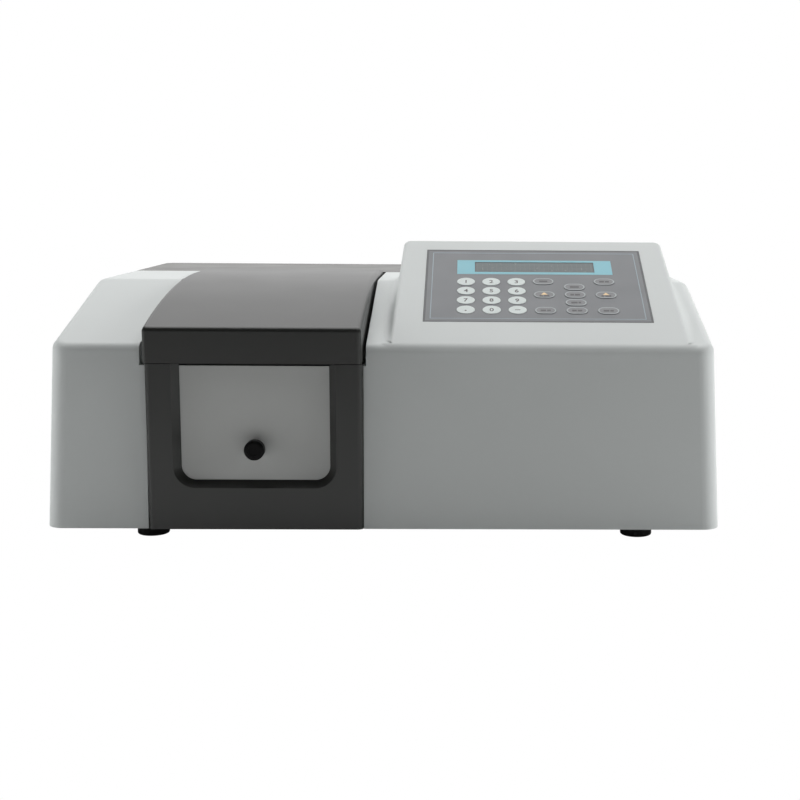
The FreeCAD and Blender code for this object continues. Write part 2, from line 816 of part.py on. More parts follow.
# Cell carriage with four wells, pull rod and knob
cell_carriage = body("cell_carriage")
block(cell_carriage, "carriage_block", ("rod_x - carriage_width / 2", "rod_x + carriage_width / 2"),
      ("carriage_front", "carriage_back"), ("carriage_bottom", "carriage_top"))
rounded(cell_carriage, "carriage_corners", "soft_edge", upright)
for i in range(4):
    block(cell_carriage, f"well_{i}", ("rod_x - cell_size / 2", "rod_x + cell_size / 2"),
          (f"beam_y + {i} * cell_pitch - cell_size / 2", f"beam_y + {i} * cell_pitch + cell_size / 2"),
          ("carriage_top - cell_depth", "carriage_top + past"), take=True)
    block(cell_carriage, f"slit_{i}", ("rod_x - carriage_width", "rod_x + carriage_width"),
          (f"beam_y + {i} * cell_pitch - slit_radius", f"beam_y + {i} * cell_pitch + slit_radius"),
          ("beam_height - slit_half", "beam_height + slit_half"), take=True)

pull_rod = body("pull_rod")
drum(pull_rod, "rod", "rod_radius", ("rod_x", "plate_front - knob_stand", "rod_height"),
     "carriage_front - plate_front + knob_stand", "y")

rod_knob = body("rod_knob")
drum(rod_knob, "knob_neck", "knob_neck", ("rod_x", "-knob_reach + knob_head - past", "rod_height"),
     "plate_front - knob_stand + knob_reach - knob_head + past", "y")
drum(rod_knob, "knob_head", "knob_radius", ("rod_x", "-knob_reach", "rod_height"), "knob_head", "y")
rounded(rod_knob, "knob_rim", "soft_edge", lambda edge: near(edge.BoundBox.YMax, value("-knob_reach")))
drum(rod_knob, "knob_dish", "knob_radius - dish_rim", ("rod_x", "-knob_reach - past", "rod_height"),
     "dish_depth + past", "y", take=True)

# Lid, hinge pin and brackets
chamber_lid = body("chamber_lid")
side_view = outline(chamber_lid, "lid_side", "YZ_Plane", "lid_left", lid_profile(False))
pad(chamber_lid, "lid_block", side_view, "lid_right - lid_left")
rounded(chamber_lid, "lid_corners", "lid_edge", lid_corner)
rounded(chamber_lid, "lid_edges", "lid_edge", lid_crown)
lid_cavity = body("lid_cavity", y="0")
inner_view = outline(lid_cavity, "lid_inner", "YZ_Plane", "lid_left + wall", lid_profile(True))
pad(lid_cavity, "lid_room", inner_view, "lid_right - lid_left - 2 * wall")
ring = {"left": "chamber_left - wall - rib_gap", "right": "chamber_right + wall + rib_gap",
        "front": "chamber_front + rib_gap", "back": "chamber_back + wall + rib_gap"}
for name, x, y in (("front", ("left - rib", "right + rib"), ("front", "front + rib")),
                   ("back", ("left - rib", "right + rib"), ("back", "back + rib")),
                   ("left", ("left - rib", "left"), ("front", "back + rib")),
                   ("right", ("right", "right + rib"), ("front", "back + rib"))):
    spans = [[re.sub("left|right|front|back", lambda word: "(" + ring[word.group()] + ")",
                     end) for end in span]
             for span in (x, y)]
    block(lid_cavity, f"light_rib_{name}", *spans, ("0", HIGH), take=True)
combine(chamber_lid, "lid_hollow", lid_cavity, "Cut")
drum(chamber_lid, "pin_bore", "pin_radius + running_fit", ("lid_left - past", "hinge_y", "hinge_z"),
     "lid_right - lid_left + 2 * past", "x", take=True)

hinge_pin = body("hinge_pin")
drum(hinge_pin, "pin", "pin_radius", ("lid_left + pin_inset", "hinge_y", "hinge_z"),
     "lid_right - lid_left - 2 * pin_inset", "x")

hinge_brackets = body("hinge_brackets")
for i, x in enumerate(("lid_left + wall + bracket_inset",
                       "lid_right - wall - bracket_inset - bracket_thick")):
    arm = outline(hinge_brackets, f"arm_outline_{i}", "YZ_Plane", x, [
        ("hinge_y - arm_front", "deck_height"), ("hinge_y - arm_heel", "deck_height"),
        ("hinge_y - arm_heel", "hinge_z - arm_low"), ("hinge_y + arm_half", "hinge_z - arm_half"),
        ("hinge_y - arm_half", "hinge_z + arm_half"), ("hinge_y - arm_toe", "hinge_z - arm_high")])
    pad(hinge_brackets, f"arm_{i}", arm, "bracket_thick")
    drum(hinge_brackets, f"eye_{i}", "eye_radius", (x, "hinge_y", "hinge_z"), "bracket_thick", "x")
drum(hinge_brackets, "eye_bore", "pin_radius", ("lid_left", "hinge_y", "hinge_z"), "lid_right - lid_left",
     "x", take=True)


def tray(piece, left, right):
    """An open casting on four legs that carries optics at beam height."""
    block(piece, piece.Label + "_shell", (left, right), ("bench_front", "bench_back"),
          ("bench_floor - bench_wall", "bench_top"))
    rounded(piece, piece.Label + "_corners", "bench_wall", upright)
    for i, (x, y) in enumerate((x, y) for x in (f"{left} + leg_radius", f"{right} - leg_radius")
                               for y in ("bench_front + leg_radius", "bench_back - leg_radius")):
        drum(piece, f"{piece.Label}_leg_{i}", "leg_radius", (x, y, "base_top"), "bench_floor - base_top")
    block(piece, piece.Label + "_room", (f"{left} + bench_wall", f"{right} - bench_wall"),
          ("bench_front + bench_wall", "bench_back - bench_wall"), ("bench_floor", HIGH), take=True)
    drum(piece, piece.Label + "_beam", "window_radius", (f"{left} - past", "beam_y", "beam_height"),
         "bench_wall + 2 * past", "x", take=True)


# Monochromator: casting, two concave mirrors, grating on its turning table
monochromator_body = body("monochromator_body")
tray(monochromator_body, "mono_left", "mono_right")
drum(monochromator_body, "mono_entry", "window_radius",
     ("mono_right - bench_wall - past", "selector_y", "beam_height"), "bench_wall + 2 * past", "x", take=True)
block(monochromator_body, "wheel_post", ("wheel_x + post_start", "wheel_x + post_end"),
      ("wheel_y - post_half", "wheel_y + post_half"), ("bench_floor", "beam_height + post_half"))
drum(monochromator_body, "wheel_bearing", "axle_radius + running_fit",
     ("wheel_x + post_start - past", "wheel_y", "beam_height"), "post_end - post_start + 2 * past", "x",
     take=True)
drum(monochromator_body, "table_bearing", "table_axle + running_fit",
     ("grating_x", "grating_y", "bench_floor - bench_wall - past"), "bench_wall + 2 * past", take=True)

concave_mirrors = body("concave_mirrors")
mirror_rows = ("bench_front + bench_wall + mirror_radius + mirror_clear",
               "bench_back - bench_wall - mirror_radius - mirror_clear")
for i, y in enumerate(mirror_rows):
    block(concave_mirrors, f"mirror_foot_{i}", ("mirror_x", "mirror_x + mirror_base"),
          (f"{y} - mirror_core", f"{y} + mirror_core"), ("bench_floor", "beam_height"))
    drum(concave_mirrors, f"mirror_{i}", "mirror_radius", ("mirror_x + mirror_clear", y, "beam_height"),
         "mirror_thick", "x")
concave_tool = body("mirror_hollows", y="0")
for i, y in enumerate(mirror_rows):
    hollow = concave_tool.newObject("PartDesign::AdditiveSphere", f"hollow_{i}")
    hollow.setExpression("Radius", linked("mirror_bend"))
    hollow.setExpression("Placement", spot("mirror_x + mirror_core + mirror_bend", y, "beam_height"))
    doc.recompute()
combine(concave_mirrors, "mirror_faces", concave_tool, "Cut")

diffraction_grating = body("diffraction_grating")
drum(diffraction_grating, "grating_shaft", "table_axle",
     ("grating_x", "grating_y", "bench_floor - bench_wall + fit"),
     "bench_wall")
drum(diffraction_grating, "grating_table", "table_radius", ("grating_x", "grating_y", "bench_floor + fit"),
     "table_thick")
block(diffraction_grating, "grating_block", ("grating_x - grating_half", "grating_x + grating_half"),
      ("grating_y - grating_width / 2", "grating_y + grating_width / 2"),
      ("bench_floor + table_thick - past", "bench_floor + grating_width + optic_lift"))

filter_wheel = body("filter_wheel")
drum(filter_wheel, "wheel_disc", "wheel_radius", ("wheel_x", "wheel_y", "beam_height"), "wheel_thick", "x")
drum(filter_wheel, "wheel_shaft", "axle_radius", ("wheel_x + past", "wheel_y", "beam_height"),
     "post_end - past - shaft_gap", "x")
for i in range(int(value("filter_count"))):
    drum(filter_wheel, f"filter_hole_{i}", "filter_radius",
         ("wheel_x - past", f"wheel_y + filter_ring * cos({i} * 360deg / filter_count)",
          f"beam_height + filter_ring * sin({i} * 360deg / filter_count)"), "wheel_thick + 2 * past", "x",
          take=True)

# Lamp house: two lamps and the mirror that picks one of them
lamp_house = body("lamp_house")
tray(lamp_house, "lamp_left", "lamp_right")
drum(lamp_house, "selector_bearing", "selector_axle + running_fit",
     ("selector_x", "selector_y", "bench_floor - bench_wall - past"), "bench_wall + 2 * past", take=True)

source_mirror = body("source_mirror")
drum(source_mirror, "selector_shaft", "selector_axle",
     ("selector_x", "selector_y", "bench_floor - bench_wall + fit"),
     "bench_wall")
drum(source_mirror, "selector_table", "selector_disc", ("selector_x", "selector_y", "bench_floor + fit"),
     "selector_thick")
block(source_mirror, "selector_block", ("selector_x - selector_half", "selector_x + selector_half"),
      ("selector_y - selector_reach", "selector_y + selector_reach"),
      ("bench_floor + selector_thick", "beam_height + optic_lift"))

tungsten_lamp = body("tungsten_lamp")
tungsten_spot = ("lamp_right - tungsten_inset", "bench_front + tungsten_place")
drum(tungsten_lamp, "tungsten_socket", "lamp_radius", (*tungsten_spot, "bench_floor"), "tungsten_base")
drum(tungsten_lamp, "tungsten_glass", "tungsten_radius",
     (*tungsten_spot, "bench_floor + tungsten_base - past"),
     "tungsten_bulb")
rounded(tungsten_lamp, "tungsten_tip", "tungsten_radius - tip_flat",
        lambda edge: edge.BoundBox.ZMin > value("bench_floor + tungsten_bulb") and edge.BoundBox.XLength > 1)

deuterium_lamp = body("deuterium_lamp")
deuterium_spot = ("lamp_right - deuterium_inset", "bench_back - deuterium_place")
drum(deuterium_lamp, "deuterium_socket", "lamp_radius + deuterium_rim", (*deuterium_spot, "bench_floor"),
     "deuterium_base")
drum(deuterium_lamp, "deuterium_glass", "lamp_radius",
     (*deuterium_spot, "bench_floor + deuterium_base - past"),
     "deuterium_bulb")
rounded(deuterium_lamp, "deuterium_tip", "lamp_radius / 2",
        lambda edge: edge.BoundBox.ZMin > value("bench_floor + deuterium_bulb") and edge.BoundBox.XLength > 1)

stepper_motors = body("stepper_motors")
for i, (x, y) in enumerate((("grating_x", "grating_y"), ("selector_x", "selector_y"))):
    top = "bench_floor - bench_wall"
    block(stepper_motors, f"motor_{i}", (f"{x} - motor_size / 2", f"{x} + motor_size / 2"),
          (f"{y} - motor_size / 2", f"{y} + motor_size / 2"), (f"{top} - motor_length", top))
block(stepper_motors, "motor_2", ("wheel_x + post_end", "wheel_x + post_end + motor_length / 2"),
      ("wheel_y - motor_half", "wheel_y + motor_half"),
      ("beam_height - motor_half", "beam_height + motor_half"))
rounded(stepper_motors, "motor_edges", "case_edge", upright)

detector_box = body("detector_box")
block(detector_box, "detector_shell", ("detector_left", "detector_right"),
      ("beam_y - detector_depth / 2", "beam_y + detector_depth / 2"), ("base_top", "bench_top"))
rounded(detector_box, "detector_corners", "case_edge", upright)
drum(detector_box, "detector_eye", "window_radius", ("detector_right - eye_depth", "beam_y", "beam_height"),
     "eye_depth + past", "x", take=True)

# Rear panel with its inlet, switch, port and fan
rear_panel = body("rear_panel")
block(rear_panel, "panel_sheet", ("-panel_side", "panel_side"), ("panel_y - panel_thick", "panel_y"),
      ("panel_low", "panel_high"))
for name, x, wide, high in (("inlet", "inlet_x", "inlet_width", "inlet_high"),
                            ("switch", "switch_x", "switch_width", "switch_high"),
                            ("port", "port_x", "port_width", "port_high")):
    block(rear_panel, f"{name}_cut", (f"{x} - {wide} / 2", f"{x} + {wide} / 2"),
          ("panel_y - panel_thick - past", "panel_y + past"),
          (f"service_height - {high} / 2", f"service_height + {high} / 2"), take=True)
for i in range(int(value("slot_count"))):
    offset = f"(({i} - (slot_count - 1) / 2) * slot_pitch)"
    reach = f"sqrt((fan_size / 2 - slot_rim) * (fan_size / 2 - slot_rim) - {offset} * {offset})"
    block(rear_panel, f"fan_slot_{i}", (f"fan_x - {reach}", f"fan_x + {reach}"),
          ("panel_y - panel_thick - past", "panel_y + past"),
          (f"fan_height + {offset} - slot_half", f"fan_height + {offset} + slot_half"), take=True)
for i in range(int(value("vent_count"))):
    middle = f"vent_left + {i} * vent_pitch"
    block(rear_panel, f"vent_{i}", (f"{middle} - slot_half", f"{middle} + slot_half"),
          ("panel_y - panel_thick - past", "panel_y + past"),
          ("panel_high - vent_low", "panel_high - vent_high"),
          take=True)

cover_screws = body("cover_screws")
screw_spots = [(x, z) for x in ("-panel_side + ledge + screw_side", "0", "panel_side - ledge - screw_side")
               for z in ("panel_low + ledge + screw_edge", "panel_high - ledge - screw_edge")]
for i, (x, z) in enumerate(screw_spots):
    drum(cover_screws, f"screw_{i}", "screw_radius", (x, "panel_y", z), "screw_head", "y")


def about(centre, span):
    """The two ends of a span about its centre."""
    return f"{centre} - ({span})", f"{centre} + ({span})"


power_inlet = body("power_inlet")
block(power_inlet, "inlet_flange", about("inlet_x", "inlet_width / 2 + inlet_rim"),
      ("panel_y", "panel_y + inlet_lip"),
      about("service_height", "inlet_high / 2 + inlet_lip"))
rounded(power_inlet, "inlet_flange_corners", "inlet_corner", lambda edge: edge.BoundBox.YLength > 2)
block(power_inlet, "inlet_shell", about("inlet_x", "inlet_width / 2 - snug"),
      ("panel_y - inlet_depth", "panel_y + past"),
      about("service_height", "inlet_high / 2 - snug"))
block(power_inlet, "inlet_room", about("inlet_x", "inlet_width / 2 - inlet_wall"),
      ("panel_y - inlet_floor", FAR),
      about("service_height", "inlet_high / 2 - inlet_wall"), take=True)
for i, (across, up) in enumerate(((-1, -1), (0, 1), (1, -1))):
    block(power_inlet, f"inlet_pin_{i}", about(f"inlet_x + {across} * contact_spread", "contact_width / 2"),
          ("panel_y - inlet_floor - past", "panel_y - contact_recess"),
          about(f"service_height + {up} * contact_offset", "contact_height / 2"))

switch_bezel = body("switch_bezel")
block(switch_bezel, "bezel_flange", about("switch_x", "switch_width / 2 + bezel_rim"),
      ("panel_y", "panel_y + bezel_rim"),
      about("service_height", "switch_high / 2 + bezel_rim"))
block(switch_bezel, "bezel_shell", about("switch_x", "switch_width / 2 - snug"),
      ("panel_y - bezel_depth", "panel_y + past"),
      about("service_height", "switch_high / 2 - snug"))
block(switch_bezel, "bezel_room", about("switch_x", "switch_width / 2 - bezel_wall"),
      ("panel_y - bezel_floor", FAR),
      about("service_height", "switch_high / 2 - bezel_wall"), take=True)

power_rocker = body("power_rocker", "switch_x", "front_y + panel_y - rocker_depth", "service_height", "1;0;0",
                    "-rocker_angle")
block(power_rocker, "rocker_block", about("0", "switch_width / 2 - rocker_side"),
      ("-rocker_depth", "rocker_front"),
      about("0", "switch_high / 2 - rocker_end"))
drum(power_rocker, "rocker_dip", "rocker_bend", ("-switch_width", "rocker_hollow", "0"), "2 * switch_width",
     "x",
     take=True)

serial_port = body("serial_port")
block(serial_port, "port_flange", about("port_x", "port_width / 2 + port_rim"),
      ("panel_y", "panel_y + port_rim"),
      about("service_height", "port_high / 2 + port_rim"))


def port_shape(inset):
    """The connector's form seen from behind, wider at the top."""
    low, high = about("service_height", f"port_high / 2 - port_step - {inset}")
    return [(f"port_x - port_mouth / 2 + port_slant + {inset}", low),
            (f"port_x + port_mouth / 2 - port_slant - {inset}", low),
            (f"port_x + port_mouth / 2 - {inset}", high), (f"port_x - port_mouth / 2 + {inset}", high)]


port_face = outline(serial_port, "port_face", "XZ_Plane", "-(panel_y + port_reach)", port_shape("0"))
pad(serial_port, "port_shell", port_face, "port_reach + port_depth")
rounded(serial_port, "port_corners", "soft_edge",
        lambda edge: edge.BoundBox.YLength > value("port_reach") - 2)
port_hollow = outline(serial_port, "port_hollow", "XZ_Plane", "-(panel_y + port_reach + past)",
                      port_shape("port_wall"))
pad(serial_port, "port_room", port_hollow, "port_reach + past", take=True)
for row, count in enumerate((5, 4)):
    for i in range(count):
        drum(serial_port, f"port_pin_{row}_{i}", "port_pin",
             (f"port_x + ({i} - {(count - 1) / 2}) * port_pitch", "panel_y - past",
              f"service_height + ({0.5 - row}) * port_pitch"), "port_reach", "y")

fan_frame = body("fan_frame")
fan_back = "panel_y - panel_thick"
block(fan_frame, "fan_block", about("fan_x", "fan_size / 2"), (f"{fan_back} - fan_thick", fan_back),
      about("fan_height", "fan_size / 2"))
rounded(fan_frame, "fan_corners", "fan_corner", lambda edge: edge.BoundBox.YLength > value("fan_thick") / 2)
drum(fan_frame, "fan_duct", "fan_size / 2 - duct_wall",
     ("fan_x", f"{fan_back} - fan_thick - past", "fan_height"),
     "fan_thick + 2 * past", "y", take=True)
block(fan_frame, "fan_strut_across", about("fan_x", "fan_size / 2 - past"),
      (f"{fan_back} - strut_thick", fan_back),
      about("fan_height", "strut_half"))
block(fan_frame, "fan_strut_upright", about("fan_x", "strut_half"), (f"{fan_back} - strut_thick", fan_back),
      about("fan_height", "fan_size / 2 - past"))
drum(fan_frame, "fan_boss", "hub_radius", ("fan_x", f"{fan_back} - boss_thick", "fan_height"), "boss_thick",
     "y")
drum(fan_frame, "fan_axle", "axle_radius", ("fan_x", f"{fan_back} - axle_reach", "fan_height"),
     "axle_reach - strut_thick", "y")

fan_impeller = body("fan_impeller", "fan_x", f"front_y + {fan_back} - fan_thick", "fan_height")
drum(fan_impeller, "hub", "hub_radius", ("0", "hub_gap", "0"),
     "fan_thick - boss_thick - hub_gap - shaft_gap", "y")
for i in range(int(value("blade_count"))):
    blade = fan_impeller.newObject("PartDesign::AdditiveBox", f"blade_{i}")
    blade.setExpression("Length", linked("blade_thick"))
    blade.setExpression("Width", linked("blade_span"))
    blade.setExpression("Height", linked("fan_size / 2 - blade_gap - hub_radius + blade_root"))
    turn = (FreeCAD.Rotation(Vector(0, 1, 0), i * 360 / value("blade_count"))
            * FreeCAD.Rotation(Vector(0, 0, 1), value("blade_twist")))
    spoke = f"(hub_radius - blade_root) * {{}}({i} * 360deg / blade_count)"
    axis = ";".join(f"{part:.5f}" for part in turn.Axis)
    blade.setExpression("Placement", spot(spoke.format("sin") + " + blade_shift", "blade_root",
                                          spoke.format("cos"),
                                          axis, f"{math.degrees(turn.Angle):.5f}"))
    doc.recompute()
drum(fan_impeller, "hub_bore", "axle_radius + running_fit", ("0", "0", "0"), "fan_thick", "y", take=True)

# Power supply and main board
power_supply = body("power_supply")
block(power_supply, "supply_box", ("supply_left", "supply_left + supply_width"),
      ("hood_start + board_front", "panel_y - supply_back"), ("base_top", "base_top + supply_height"))
rounded(power_supply, "supply_edges", "soft_edge", upright)

main_board = body("main_board")
block(main_board, "board", ("board_left", "board_left + board_width"),
      ("hood_start + board_front", "panel_y - board_back"),
      ("base_top + standoff", "base_top + standoff + board_thick"))
post_spots = [(x, y) for x in ("board_left + post_inset", "board_left + board_width - post_inset")
              for y in ("hood_start + board_front + post_inset", "panel_y - board_back - post_inset")]
for i, (x, y) in enumerate(post_spots):
    drum(main_board, f"board_post_{i}", "post_radius", (x, y, "base_top"), "standoff + past")
for i in range(3):
    start = f"board_left + chip_start + {i} * chip_pitch"
    block(main_board, f"chip_{i}", (start, f"{start} + chip_size"),
          ("hood_start + chip_place", "hood_start + chip_place + chip_depth"),
          ("base_top + standoff + past", "base_top + standoff + board_thick + chip_rise"))


# Keypad: overlay, keys, board and display, drawn on the panel's plane
def flat_shape(label, form, x, y, grow, low, high):
    """A straight-walled key shape: an ellipse or a bar with round ends."""
    if form == "digit":
        ring_line = doc.addObject("Part::Ellipse", label + "_ring")
        ring_line.setExpression("MajorRadius", linked(f"digit_length / 2 + {grow}"))
        ring_line.setExpression("MinorRadius", linked(f"digit_width / 2 + {grow}"))
        ring_line.setExpression("Placement", spot(x, y, low))
        solid = doc.addObject("Part::Extrusion", label + "_solid")
        solid.Base = ring_line
        solid.DirMode = "Custom"
        solid.Dir = Vector(0, 0, 1)
        solid.Solid = True
        solid.setExpression("LengthFwd", linked(f"({high}) - ({low})"))
        return solid
    parts = [doc.addObject("Part::Box", label + "_bar")]
    parts[0].setExpression("Length", linked("menu_length - menu_width"))
    parts[0].setExpression("Width", linked(f"menu_width + 2 * ({grow})"))
    parts[0].setExpression("Height", linked(f"({high}) - ({low})"))
    parts[0].setExpression("Placement", spot(f"{x} - (menu_length - menu_width) / 2",
                                             f"{y} - menu_width / 2 - ({grow})", low))
    for side in (-1, 1):
        end = doc.addObject("Part::Cylinder", f"{label}_end_{(side + 1) // 2}")
        end.setExpression("Radius", linked(f"menu_width / 2 + {grow}"))
        end.setExpression("Height", linked(f"({high}) - ({low})"))
        end.setExpression("Placement", spot(f"{x} + {side} * (menu_length - menu_width) / 2", y, low))
        parts.append(end)
    return joined(label + "_solid", parts)


def joined(label, parts):
    """One solid made of several."""
    solid = doc.addObject("Part::MultiFuse", label)
    solid.Shapes = parts
    solid.Refine = True
    return solid


def key_plan():
    """Every key: its name, its form and its centre on the panel."""
    plan = []
    order = ("point", "0", "minus", "7", "8", "9", "4", "5", "6", "1", "2", "3")
    for i, mark in enumerate(order):
        plan.append((f"key_{mark}", "digit", f"digit_x + {i % 3} * digit_pitch_x",
                     f"digit_y + {i // 3} * digit_pitch_y"))
    rows = [(0, y) for y in ("menu_low", "menu_middle", "menu_high")]
    rows += [(1, f"menu_low + {i} * menu_pitch_y") for i in range(4)]
    rows += [(2, y) for y in ("menu_low", "menu_middle", "menu_high")]
    for i, (column, y) in enumerate(rows):
        plan.append((f"menu_key_{i + 1}", "menu", f"menu_x + {column} * menu_pitch_x", y))
    return plan


holes = []
keys = []
domes = []
for label, form, x, y in key_plan():
    holes.append(flat_shape(label + "_hole", form, x, y, "key_clear", "-overlay_thick - past", "past"))
    cap = flat_shape(label + "_cap", form, x, y, "0", "-overlay_thick - key_clear - foot_thick", "key_rise")
    rim = flat_shape(label + "_foot", form, x, y, "foot_rim", "-overlay_thick - key_clear - foot_thick",
                     "-overlay_thick - key_clear")
    key = joined(label, [cap, rim])
    key.Label = label
    on_panel(key)
    keys.append(key)
    dome = doc.addObject("Part::Cylinder", label + "_dome")
    dome.setExpression("Radius", linked("dome_radius"))
    dome.setExpression("Height", linked("dome_rise + dome_sink"))
    dome.setExpression("Placement", spot(x, y, "-wall - dome_sink"))
    domes.append(dome)


def sheet_block(label, x, y, z):
    """A plain block between two corners, drawn flat for the keypad's plane."""
    solid = doc.addObject("Part::Box", label)
    for side, span in (("Length", x), ("Width", y), ("Height", z)):
        solid.setExpression(side, linked(f"({span[1]}) - ({span[0]})"))
    solid.setExpression("Placement", spot(x[0], y[0], z[0]))
    return solid


holes.append(sheet_block("screen_hole", ("-screen_length / 2 - key_clear", "screen_length / 2 + key_clear"),
                         ("screen_y - screen_width / 2 - key_clear",
                          "screen_y + screen_width / 2 + key_clear"),
                         ("-overlay_thick - past", "past")))
keypad_overlay = doc.addObject("Part::Cut", "keypad_overlay")
keypad_overlay.Label = "keypad_overlay"
keypad_overlay.Base = sheet_block("overlay_sheet", ("-overlay_width / 2", "overlay_width / 2"),
                                  ("0", "overlay_length"),
                                  ("-overlay_thick", "0"))
keypad_overlay.Tool = joined("overlay_holes", holes)
on_panel(keypad_overlay)

board_sheet = sheet_block("keypad_sheet", about("0", "overlay_width / 2 - board_clear"),
                          ("board_clear", "overlay_length - board_clear"), ("-wall - board_thick", "-wall"))
keypad_board = joined("keypad_board", [board_sheet] + domes)
keypad_board.Label = "keypad_board"
on_panel(keypad_board)

lcd_module = panel_body("lcd_module")
block(lcd_module, "lcd_frame", ("-screen_length / 2 - screen_rim", "screen_length / 2 + screen_rim"),
      ("screen_y - screen_width / 2 - screen_rim / 2", "screen_y + screen_width / 2 + screen_rim / 2"),
      ("-wall", "-overlay_thick - key_clear"))
block(lcd_module, "lcd_glass", ("-screen_length / 2", "screen_length / 2"),
      ("screen_y - screen_width / 2", "screen_y + screen_width / 2"), ("-wall + past", "-key_clear"))
doc.recompute()

PIECES = [base_plate, rubber_feet, upper_housing, rear_hood, rear_panel, front_frame, front_plate,
          sample_chamber,
          chamber_windows, cell_carriage, pull_rod, rod_knob, chamber_lid, lid_seal, hinge_pin,
          hinge_brackets,
          monochromator_body, concave_mirrors, diffraction_grating, stepper_motors, filter_wheel,
          source_mirror,
          lamp_house, tungsten_lamp, deuterium_lamp, detector_box, main_board, power_supply, fan_frame,
          fan_impeller,
          power_inlet, switch_bezel, power_rocker, serial_port, keypad_overlay, keypad_board, lcd_module,
          cover_screws] + keys

faults = [item.Name for item in doc.Objects if "Invalid" in item.State or "Error" in item.State]
for piece in PIECES:
    if piece.Shape.isNull() or not piece.Shape.isValid() or not piece.Shape.Solids:
        faults.append(piece.Label)
if faults:
    raise RuntimeError("these pieces failed: " + ", ".join(faults))

os.makedirs("parts", exist_ok=True)
for piece in PIECES:
    piece.Shape.exportStep(f"parts/{piece.Label}.step")
print(len(PIECES), "pieces written")
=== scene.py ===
import json
import math
import bmesh
import bpy
from mathutils import Matrix, Vector


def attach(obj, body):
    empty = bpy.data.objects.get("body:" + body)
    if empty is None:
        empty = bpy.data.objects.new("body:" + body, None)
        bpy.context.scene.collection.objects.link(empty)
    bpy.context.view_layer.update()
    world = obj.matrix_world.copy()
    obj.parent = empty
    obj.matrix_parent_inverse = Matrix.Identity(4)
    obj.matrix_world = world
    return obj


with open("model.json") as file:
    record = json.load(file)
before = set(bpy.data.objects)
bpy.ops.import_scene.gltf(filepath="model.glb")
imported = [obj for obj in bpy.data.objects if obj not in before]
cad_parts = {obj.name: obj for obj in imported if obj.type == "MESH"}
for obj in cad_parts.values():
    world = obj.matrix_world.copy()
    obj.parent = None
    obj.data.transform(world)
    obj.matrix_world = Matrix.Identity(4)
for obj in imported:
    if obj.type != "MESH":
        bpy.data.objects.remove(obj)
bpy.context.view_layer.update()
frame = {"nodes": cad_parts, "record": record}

# Sizes are in millimetres; the floor and the lamps are in metres
MM = 0.001
TO_METRES = Matrix.Scale(MM, 4)
FROM_METRES = Matrix.Scale(1 / MM, 4)

# Camera, fitted to the photograph, with its turns in degrees
CAMERA_PLACE = (61.84, -1109.48, 251.98)
CAMERA_DOWN = 8.767
CAMERA_RIGHT = 1.154
CAMERA_ROLL = 0.441
CAMERA_LENS = 60.49
CAMERA_SHIFT = (-0.1234, -0.0071)
SENSOR_WIDTH = 36
SIGHT_IN_METRES = 20

# Floor, and how strongly the floor and the backdrop shine on the object
FLOOR_HALF = 6.0
FLOOR_GLOW = 0.02
BACKDROP_GLOW = 0.005

# Housing, with its front edge where the drafted front meets the slope
HOUSING_FRONT = -178.0
FOOT_HEIGHT = 11.0
FRONT_HEIGHT = 140.8
DECK_HEIGHT = 127.0
DRAFT = math.radians(2.6)
FRONT_EDGE = HOUSING_FRONT + (FRONT_HEIGHT - FOOT_HEIGHT) * math.tan(DRAFT)

# Keypad plane, from the middle of the overlay's front edge: X to the right, Y up the slope, Z out of it
TILT = math.radians(24.74)
PANEL_MIDDLE = 109.85
PANEL_SETBACK = 37.7
PANEL_START = HOUSING_FRONT + PANEL_SETBACK
PANEL_HEIGHT = FRONT_HEIGHT + (PANEL_START - FRONT_EDGE) * math.tan(TILT)
PANEL = Vector((PANEL_MIDDLE, PANEL_START, PANEL_HEIGHT))
ON_PANEL = Matrix.Translation(PANEL * MM) @ Matrix.Rotation(TILT, 4, "X") @ TO_METRES
TO_PANEL = ON_PANEL.inverted()

# Prints of the overlay; a rectangle is left, low, right and high in the keypad plane
PRINT_THICK = 0.04
RIM_INSET = 0.1
RIM_WIDTH = 1.5
BORDER = (-79.0, 4.6, 79.0, 107.4)
BORDER_WIDTH = 0.65
BLUE_BAR = (-59.8, 72.4, 59.8, 95.0)
WINDOW = (-46.0, 76.1, 46.0, 91.9)
WINDOW_GAP = 0.15

# Display behind the window
GLASS_TOP = -0.15
GLASS_BORDER = 1.0
CELL_COLUMNS = 24
CELL_ROWS = 2
CELL_PITCH = (3.65, 6.1)
CELL_SIZE = (3.1, 5.4)

# Signs of the digit keys, named from the front left key to the back right one
KEY_TOP = 0.3
DIGIT_KEYS = ("point", "0", "minus", "7", "8", "9", "4", "5", "6", "1", "2", "3")
DIGIT_SIZE = 6.4
DIGIT_SWELL = 0.12
POINT_RADIUS = 0.75
POINT_DROP = 1.4
MINUS_SIZE = (4.0, 0.8)

# Ring, legend bars and mark of the menu keys; each key has a tuple with the lengths of its bars
RING_LENGTH = 15.5
RING_WIDTH = 9.4
RING_LINE = 0.9
LEGENDS = (
    (4.0, 2.7), (2.5, 4.0), (6.2,), (3.3, 3.3), (4.6, 1.9),
    (2.7, 3.7), (6.8,), (4.2, 2.5), (2.2, 4.4), (3.6, 3.0),
)
LEGEND_LOW = -1.2
LEGEND_HIGH = 1.0
LEGEND_GAP = 0.8
LEGEND_DROP = 1.6
MARKED_KEYS = (2, 9)
MARK_HALF = 2.5
MARK_LOW = -0.2
MARK_HIGH = 3.3

# Cross recesses of the rear screws, drawn as black bars of painted shade
SCREW_COLUMNS = (-177, 0, 177)
SCREW_ROWS = (33, 139)
CROSS_LENGTH = 3.0
CROSS_WIDTH = 0.6
CROSS_SINK = 0.5
CROSS_RISES = (0.03, 0.04)

# Contacts of the inlet, placed from its middle and from the back of the rear panel
CONTACT_PLACES = ((-7, -2), (0, 2), (7, -2))
CONTACT_SIZE = (2.1, 4.1)
CONTACT_START = -16.9
CONTACT_END = -3.95

